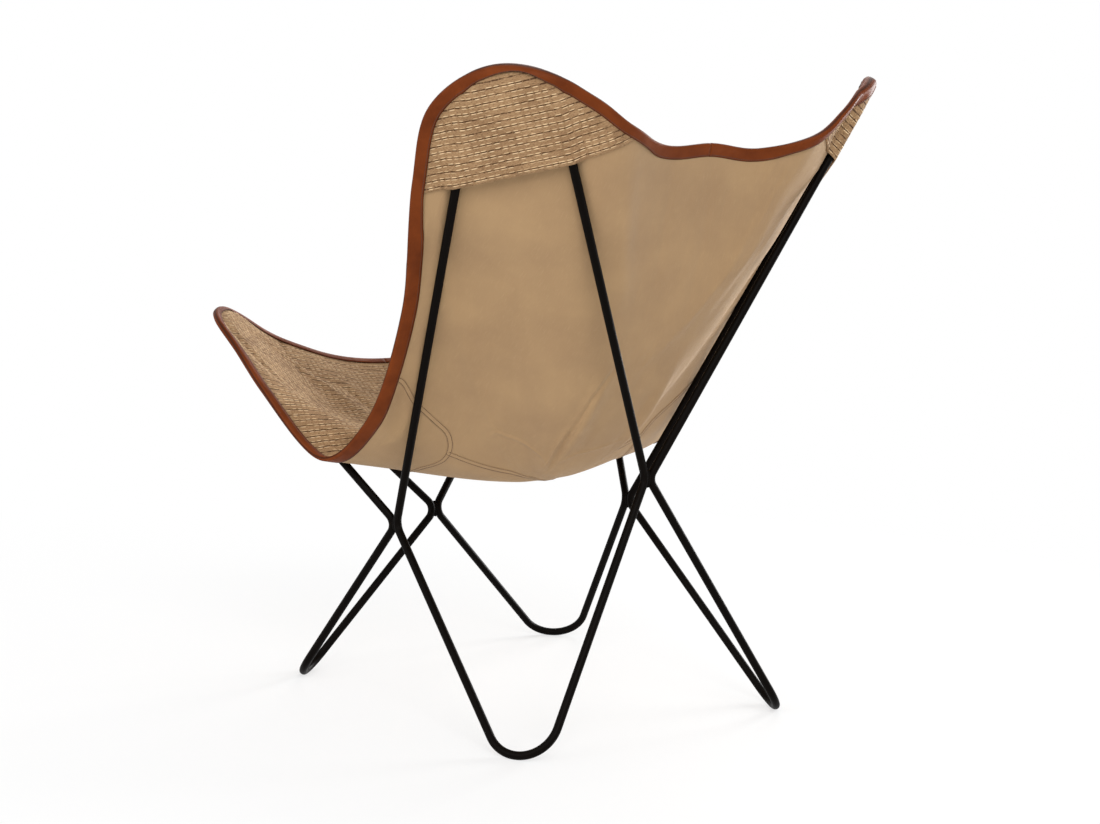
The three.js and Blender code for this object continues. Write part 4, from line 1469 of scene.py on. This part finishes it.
def nearest(points):
    # Points and normals of the surface nearest to the given ones
    found = [surfaceTree.find_nearest(Vector(point)) for point in points]
    return np.array([spot[0] for spot in found]), np.array([normalAt(spot[0], spot[2]) for spot in found])


def evenRoute(points, step):
    lengths = runLengths(points)
    return valuesAt(np.linspace(0, lengths[-1], max(round(lengths[-1] / step), 2) + 1), lengths, points)


def gridMap(mesh, name, lengths, across):
    # Flat places of a closed grid, from its rows' lengths along and its columns' places across
    corner = cornerPoints(mesh)
    width = len(across)
    writeMap(mesh, name, np.column_stack([lengths[corner // width], across[corner % width]]))


def stitchPoints(rows, normals):
    # Evenly spaced stitches along a route: places, directions up and along
    lengths = runLengths(rows)
    count = max(int(lengths[-1] / stitches["pitch"]), 2)
    stations = (np.arange(count) + 0.5) * lengths[-1] / count
    places = valuesAt(stations, lengths, rows)
    upward = unit(valuesAt(stations, lengths, normals))
    return places - upward * stitches["sink"], upward, unit(np.gradient(places, axis=0))


def sewStitches(name, found, thread, slot):
    places, upward, along = (np.concatenate(parts) for parts in zip(*found))
    return strands(name, places + toOrigin, upward, along, thread, slot, {
        "Length": stitches["length"], "Width": stitches["width"], "Height": stitches["height"]})


def seamBand(name, plan, slot):
    route, _ = dropped(evenRoute(plan, seams["step"] / 2))
    route = evenRoute(route, seams["step"])
    route, normals = nearest(route[distanceTo(route + toOrigin, rimRoute) > seams["rimMargin"]])
    beside = unit(np.cross(normals, unit(np.gradient(route, axis=0))))
    rows = []
    for share, lift in seams["section"]:
        spots, ups = nearest(route + beside * seams["bandWidth"] / 2 * share)
        rows.append(spots - ups * (liningUnder + seams["bandHeight"] * lift))
    piece = closedGrid(name, np.stack(rows, axis=1) + toOrigin, canvas)
    gridMap(piece.data, "cloth", runLengths(route), np.arange(len(rows)) / len(rows) * seams["bandWidth"])
    finishPiece(piece, slot)
    found = []
    depth = liningUnder + seams["bandHeight"] * seams["stitchLift"]
    for side in (-1, 1):
        spots, ups = nearest(route + beside * seams["rowStep"] / 2 * side)
        found.append(stitchPoints(spots - ups * depth, -ups))
    sewStitches(f"{name}_stitches", found, seamThread, slot)


for seamName, seamLine in zip(("left_wing_seam", "right_wing_seam", "back_seam"), seamLines):
    seamBand(seamName, seamLine, "canvas")
print("seams sewn")


panels = cutSling()
print("sling cut into panels")

# Flat sizes of the cut panels, in metres, and their areas in square metres
panelRows = np.array([1.0, 0, 0])
panelRimMargin = 0.0125  # kept free of floats along the edge
seamGroove = {"depth": 0.0009, "width": 0.0045, "floatMargin": 0.0025, "step": 0.003}
seamRoutes = np.vstack([evenRoute(route, seamGroove["step"]) for route in seamLines])


def fromSeams(points):
    # Distance in plan from the nearest seam
    return distanceTo(points[:, :2], seamRoutes)


def makePanels():
    for name, (points, normals, faces) in panels.items():
        groove = seamGroove["depth"] * np.exp(-(fromSeams(points) / seamGroove["width"]) ** 2)
        woven = sheetObject(
            f"woven_{name}_cloth", points + normals * (clothOver - groove)[:, None], faces, wovenGround)
        flattened = unwrapPiece(woven, panelRows)
        floats = weaveFloats(f"woven_{name}_floats", woven, panelRimMargin,
                             lambda places: fromSeams(places - toOrigin) > seamGroove["floatMargin"])
        thicken(woven, sling["clothThickness"])
        finishPiece(woven, "cloth", f"woven_{name}")
        backwards = [tuple(reversed(face)) for face in faces]
        lining = sheetObject(f"lining_{name}_cloth", points - normals * liningUnder, backwards, canvas)
        mapLike(lining, flattened)
        thicken(lining, sling["liningThickness"])
        finishPiece(lining, "canvas", f"lining_{name}")


makePanels()
print("panels sewn")


# Pockets

pockets = {
    "rings": 26,
    "columnsPerPoint": 16,
    "innerShare": 0.76,
    "rimMargin": 0.0195,  # kept free of floats along the edge
    "hemMargin": 0.0015,
    "rearCut": ((0.32, 0.152), 0.034),
    "rightRearCut": ((0.32, 0.14), 0.031),
    "frontCut": ((0.311, 0.151), 0.034),
}


def pocketGrid(places):
    # Rows of points on a pocket's outer face
    columns = round((places[1] - places[0]) * pockets["columnsPerPoint"])
    along = np.linspace(places[0], places[1], columns + 1)
    band, edge = edgeOuts(along)
    shares = np.linspace(0, 1, pockets["rings"] + 1)[:, None]
    outs = pockets["innerShare"] * band + (edge - pockets["innerShare"] * band) * shares
    everyPlace = np.broadcast_to(along, outs.shape)
    upward = pocketUp(outs, everyPlace)
    depth = pocketDepth(outs, everyPlace) + sling["clothThickness"]
    return slingPoint(outs, everyPlace) - upward * depth[..., None]


def makePocket(name, places, ear, depth, tilt, onRight):
    rows = pocketGrid(places)
    slope = math.radians(tilt)
    hem = ear["toSide"] * math.cos(slope) - ear["upward"] * math.sin(slope)
    away = ear["upward"] * math.cos(slope) + ear["toSide"] * math.sin(slope)
    mouth = ear["centre"] + ear["upward"] * (ear["radius"] - depth)
    mesh = newMesh("pocket", rows.reshape(-1, 3), gridFaces(*rows.shape[:2], False))
    shape = bmesh.new()
    shape.from_mesh(mesh)
    bmesh.ops.bisect_plane(shape, geom=shape.verts[:] + shape.edges[:] + shape.faces[:], dist=1e-6,
                           plane_co=mouth, plane_no=away, clear_inner=True)
    shape.verts.index_update()
    points = np.array([vert.co for vert in shape.verts])
    faces = [tuple(vert.index for vert in face.verts) for face in shape.faces]
    shape.faces.ensure_lookup_table()
    facesSitter = dot(np.array(shape.faces[0].normal), ear["towardSitter"]) > 0
    shape.free()
    bpy.data.meshes.remove(mesh)
    if onRight:
        points, hem, mouth, away = (mirrored(part) for part in (points, hem, mouth, away))
    if facesSitter != onRight:
        faces = [tuple(reversed(face)) for face in faces]
    piece = sheetObject(f"{name}_cloth", points, faces, wovenGround)
    unwrapPiece(piece, hem)
    floats = weaveFloats(f"{name}_floats", piece, pockets["rimMargin"],
                         lambda places: dot(places - toOrigin - mouth, away) > pockets["hemMargin"])
    thicken(piece, sling["clothThickness"])
    finishPiece(piece, "cloth", name)


def makePockets():
    for onRight, side in ((False, "left"), (True, "right")):
        rise, turn = (settled["rightPocketRise"], settled["rightPocketTilt"]) if onRight else (0, 0)
        makePocket(f"rear_{side}_pocket", sling["rearPocketPlaces"], rearEar, sling["rearPocketDepth"] - rise,
                   sling["rearPocketTilt"] + turn, onRight)
        makePocket(f"front_{side}_pocket", sling["frontPocketPlaces"], frontEar, sling["frontPocketDepth"],
                   sling["frontPocketTilt"], onRight)


makePockets()
print("pockets sewn")


# Leather binding: a strip folded over the edge, narrow inside and wide outside

binding = {
    "columnsPerPoint": 24,
    "outerWidths": ((0, 1, 3, 5, 15), (0.0155, 0.0155, 0.0165, 0.019, 0.019)),  # by place
    "innerWidth": 0.0095,
    "outerSteps": 7,
    "innerSteps": 4,
    "foldSteps": 5,
    "foldTaken": 1.7,  # what a deep fold takes from the strip's width, per metre of its depth
    "foldRound": 1.6,  # how far the fold bulges out, in shares of the binding's room
    "seamGap": 0.0006,
    "edgeThin": 0.4,  # share of the thickness at the skived edges
    "edgeSlope": 6,
    "pocketEase": 0.66,  # places over which the strip rises onto a pocket
}


def pocketShare(place):
    # 1 where the binding lies on a pocket and 0 away from it
    share = np.zeros_like(place)
    for first, last in (sling["rearPocketPlaces"], sling["frontPocketPlaces"]):
        rise = smoothShare((place - first) / binding["pocketEase"] + 1)
        fall = smoothShare((last - place) / binding["pocketEase"] + 1)
        share = np.maximum(share, np.minimum(rise, fall))
    return share


def bindingPath(places):
    # Where the strip's inner face lies, from its narrow side over the fold to its wide side
    share = pocketShare(places)
    plain = liningUnder + sling["clearance"]
    top = clothOver + sling["bindingClearance"]

    def over(out, place):
        return slingPoint(out, place) + slingNormal(out, place) * top

    def under(out, place):
        pocket = pocketDepth(out, place) + sling["clothThickness"] + sling["clearance"]
        depth = plain + share * (pocket - plain)
        blend = slingNormal(out, place) * (1 - share)[:, None] + pocketUp(out, place) * share[:, None]
        return slingPoint(out, place) - unit(blend) * depth[:, None]

    inside = np.linspace(0, binding["innerWidth"], binding["innerSteps"])
    outs, walked, inward = edgeWalk(places, inside)
    innerRows = [over(out, place) for out, place in zip(outs, walked)][::-1]
    _, edge = edgeOuts(places)
    start, end = innerRows[-1], under(edge, places)
    taken = (np.linalg.norm(end - start, axis=1) - plain - top) * binding["foldTaken"]
    width = np.interp(places, *binding["outerWidths"])
    outside = np.linspace(0, 1, binding["outerSteps"])[:, None] * (width - taken)
    outs, walked, _ = edgeWalk(places, outside)
    outerRows = [under(out, place) for out, place in zip(outs, walked)]
    middle, half = (start + end) / 2, (start - end) / 2
    bulge = inward * sling["bindingRoom"] * binding["foldRound"]
    angles = math.pi * np.arange(1, binding["foldSteps"] + 1) / (binding["foldSteps"] + 1)
    foldRows = [middle + half * math.cos(angle) - bulge * math.sin(angle) for angle in angles]
    return np.stack(innerRows + foldRows + outerRows, axis=1)


def makeBinding(side, onRight):
    steps = lastPoint * binding["columnsPerPoint"]
    places = np.arange(steps + 1) / binding["columnsPerPoint"]
    inner = bindingPath(places)
    inner[0, :, 0] = inner[-1, :, 0] = binding["seamGap"] / 2
    along = unit(np.gradient(inner, axis=0))
    across = unit(np.gradient(inner, axis=1))
    outward = unit(np.cross(across, along))
    outs, walked, _ = edgeWalk(places, [0.0])
    facing = dot(outward[:, 0], slingNormal(outs, walked)[0])
    outward = outward * np.sign(facing)[:, None, None]
    shares = np.linspace(0, 1, inner.shape[1])
    skived = np.clip(np.minimum(shares, 1 - shares) * binding["edgeSlope"] + binding["edgeThin"], 0, 1)
    outer = inner + outward * (sling["leatherThickness"] * skived)[:, None]
    outer[0, :, 0] = outer[-1, :, 0] = binding["seamGap"] / 2
    found = [stitchPoints(outer[:, row], outward[:, row]) for row in (1, -2)]
    rows = np.concatenate([inner, outer[:, ::-1]], axis=1)
    if onRight:
        rows = mirrored(rows)
        found = [tuple(mirrored(part) for part in row) for row in found]
    piece = closedGrid(f"{side}_strip", rows + toOrigin, leather)
    gridMap(piece.data, "strip", runLengths(outer[:, -1]), np.concatenate([shares, shares[::-1]]))
    finishPiece(piece, "leather", f"{side}_leather_binding")
    sewStitches(f"{side}_strip_stitches", found, bindingThread, "leather")


makeBinding("left", False)
makeBinding("right", True)
print("binding folded and sewn")


# Studio

studio = {
    "floorSize": 60,
    "floorColour": (0.93, 0.93, 0.93, 1),
    "shadowShare": 0.35,
    "shadowReach": (0.6, 1.6),  # metres from the chair over which the shadows fade into white
    "skyLight": 0.5,
    "lamps": [
        {"name": "key", "place": (2.2, 3.9, 3.4), "size": 2.6, "power": 119},
        {"name": "fill", "place": (4.6, 0.6, 2.2), "size": 2.4, "power": 60},
        {"name": "rim", "place": (-3.2, -2.4, 3.2), "size": 2.2, "power": 60},
        {"name": "side", "place": (-4.2, -0.2, 1.1), "size": 1.4, "power": 165},
    ],
    "aim": (0, 0, 0.5),
}


def makeLamps():
    for lamp in studio["lamps"]:
        data = bpy.data.lights.new(lamp["name"], "AREA")
        data.shape = "SQUARE"
        data.size = lamp["size"]
        data.energy = lamp["power"]
        aim = Vector(studio["aim"]) - Vector(lamp["place"])
        turn = aim.to_track_quat("-Z", "Y").to_matrix().to_4x4()
        newObject(lamp["name"], data).matrix_world = Matrix.Translation(lamp["place"]) @ turn


def seenDirectly(tree):
    # 1 for rays from the camera, from gloss and through glass
    rays = addNode(tree, "ShaderNodeLightPath")
    seen = mathNode(tree, "MAXIMUM", rays.outputs["Is Camera Ray"], rays.outputs["Is Glossy Ray"])
    return mathNode(tree, "MAXIMUM", seen, rays.outputs["Is Transmission Ray"])


def mixShaders(tree, factor, first, second, output):
    mix = addNode(tree, "ShaderNodeMixShader", {0: factor, 1: first.outputs[0], 2: second.outputs[0]})
    addNode(tree, output, {"Surface": mix.outputs[0]})


def makeFloor():
    half = studio["floorSize"] / 2
    corners = [(-half, -half, 0), (half, -half, 0), (half, half, 0), (-half, half, 0)]
    mesh = newMesh("floor", corners, [(0, 1, 2, 3)])
    floor = newObject("floor", mesh)
    material, tree, _ = newMaterial("paper")
    tree.nodes.clear()
    paper = addNode(tree, "ShaderNodeBsdfDiffuse", {"Color": studio["floorColour"]})
    white = addNode(tree, "ShaderNodeEmission")
    away = addNode(tree, "ShaderNodeVectorMath", {0: objectCoordinates(tree)}, operation="LENGTH")
    shadow = rampNode(tree, away.outputs["Value"], *studio["shadowReach"], studio["shadowShare"], 0)
    factor = mathNode(tree, "MULTIPLY", seenDirectly(tree), mathNode(tree, "SUBTRACT", 1, shadow))
    mixShaders(tree, factor, paper, white, "ShaderNodeOutputMaterial")
    mesh.materials.append(material)


def makeWorld():
    world = bpy.data.worlds.new("studio")
    bpy.context.scene.world = world
    world.use_nodes = True
    tree = world.node_tree
    tree.nodes.clear()
    light, backdrop = (addNode(tree, "ShaderNodeBackground", {"Strength": strength, "Color": (1, 1, 1, 1)})
                       for strength in (studio["skyLight"], 1))
    mixShaders(tree, seenDirectly(tree), light, backdrop, "ShaderNodeOutputWorld")


makeLamps()
makeFloor()
makeWorld()
bpy.context.scene.view_settings.view_transform = "Standard"
print("studio lit")
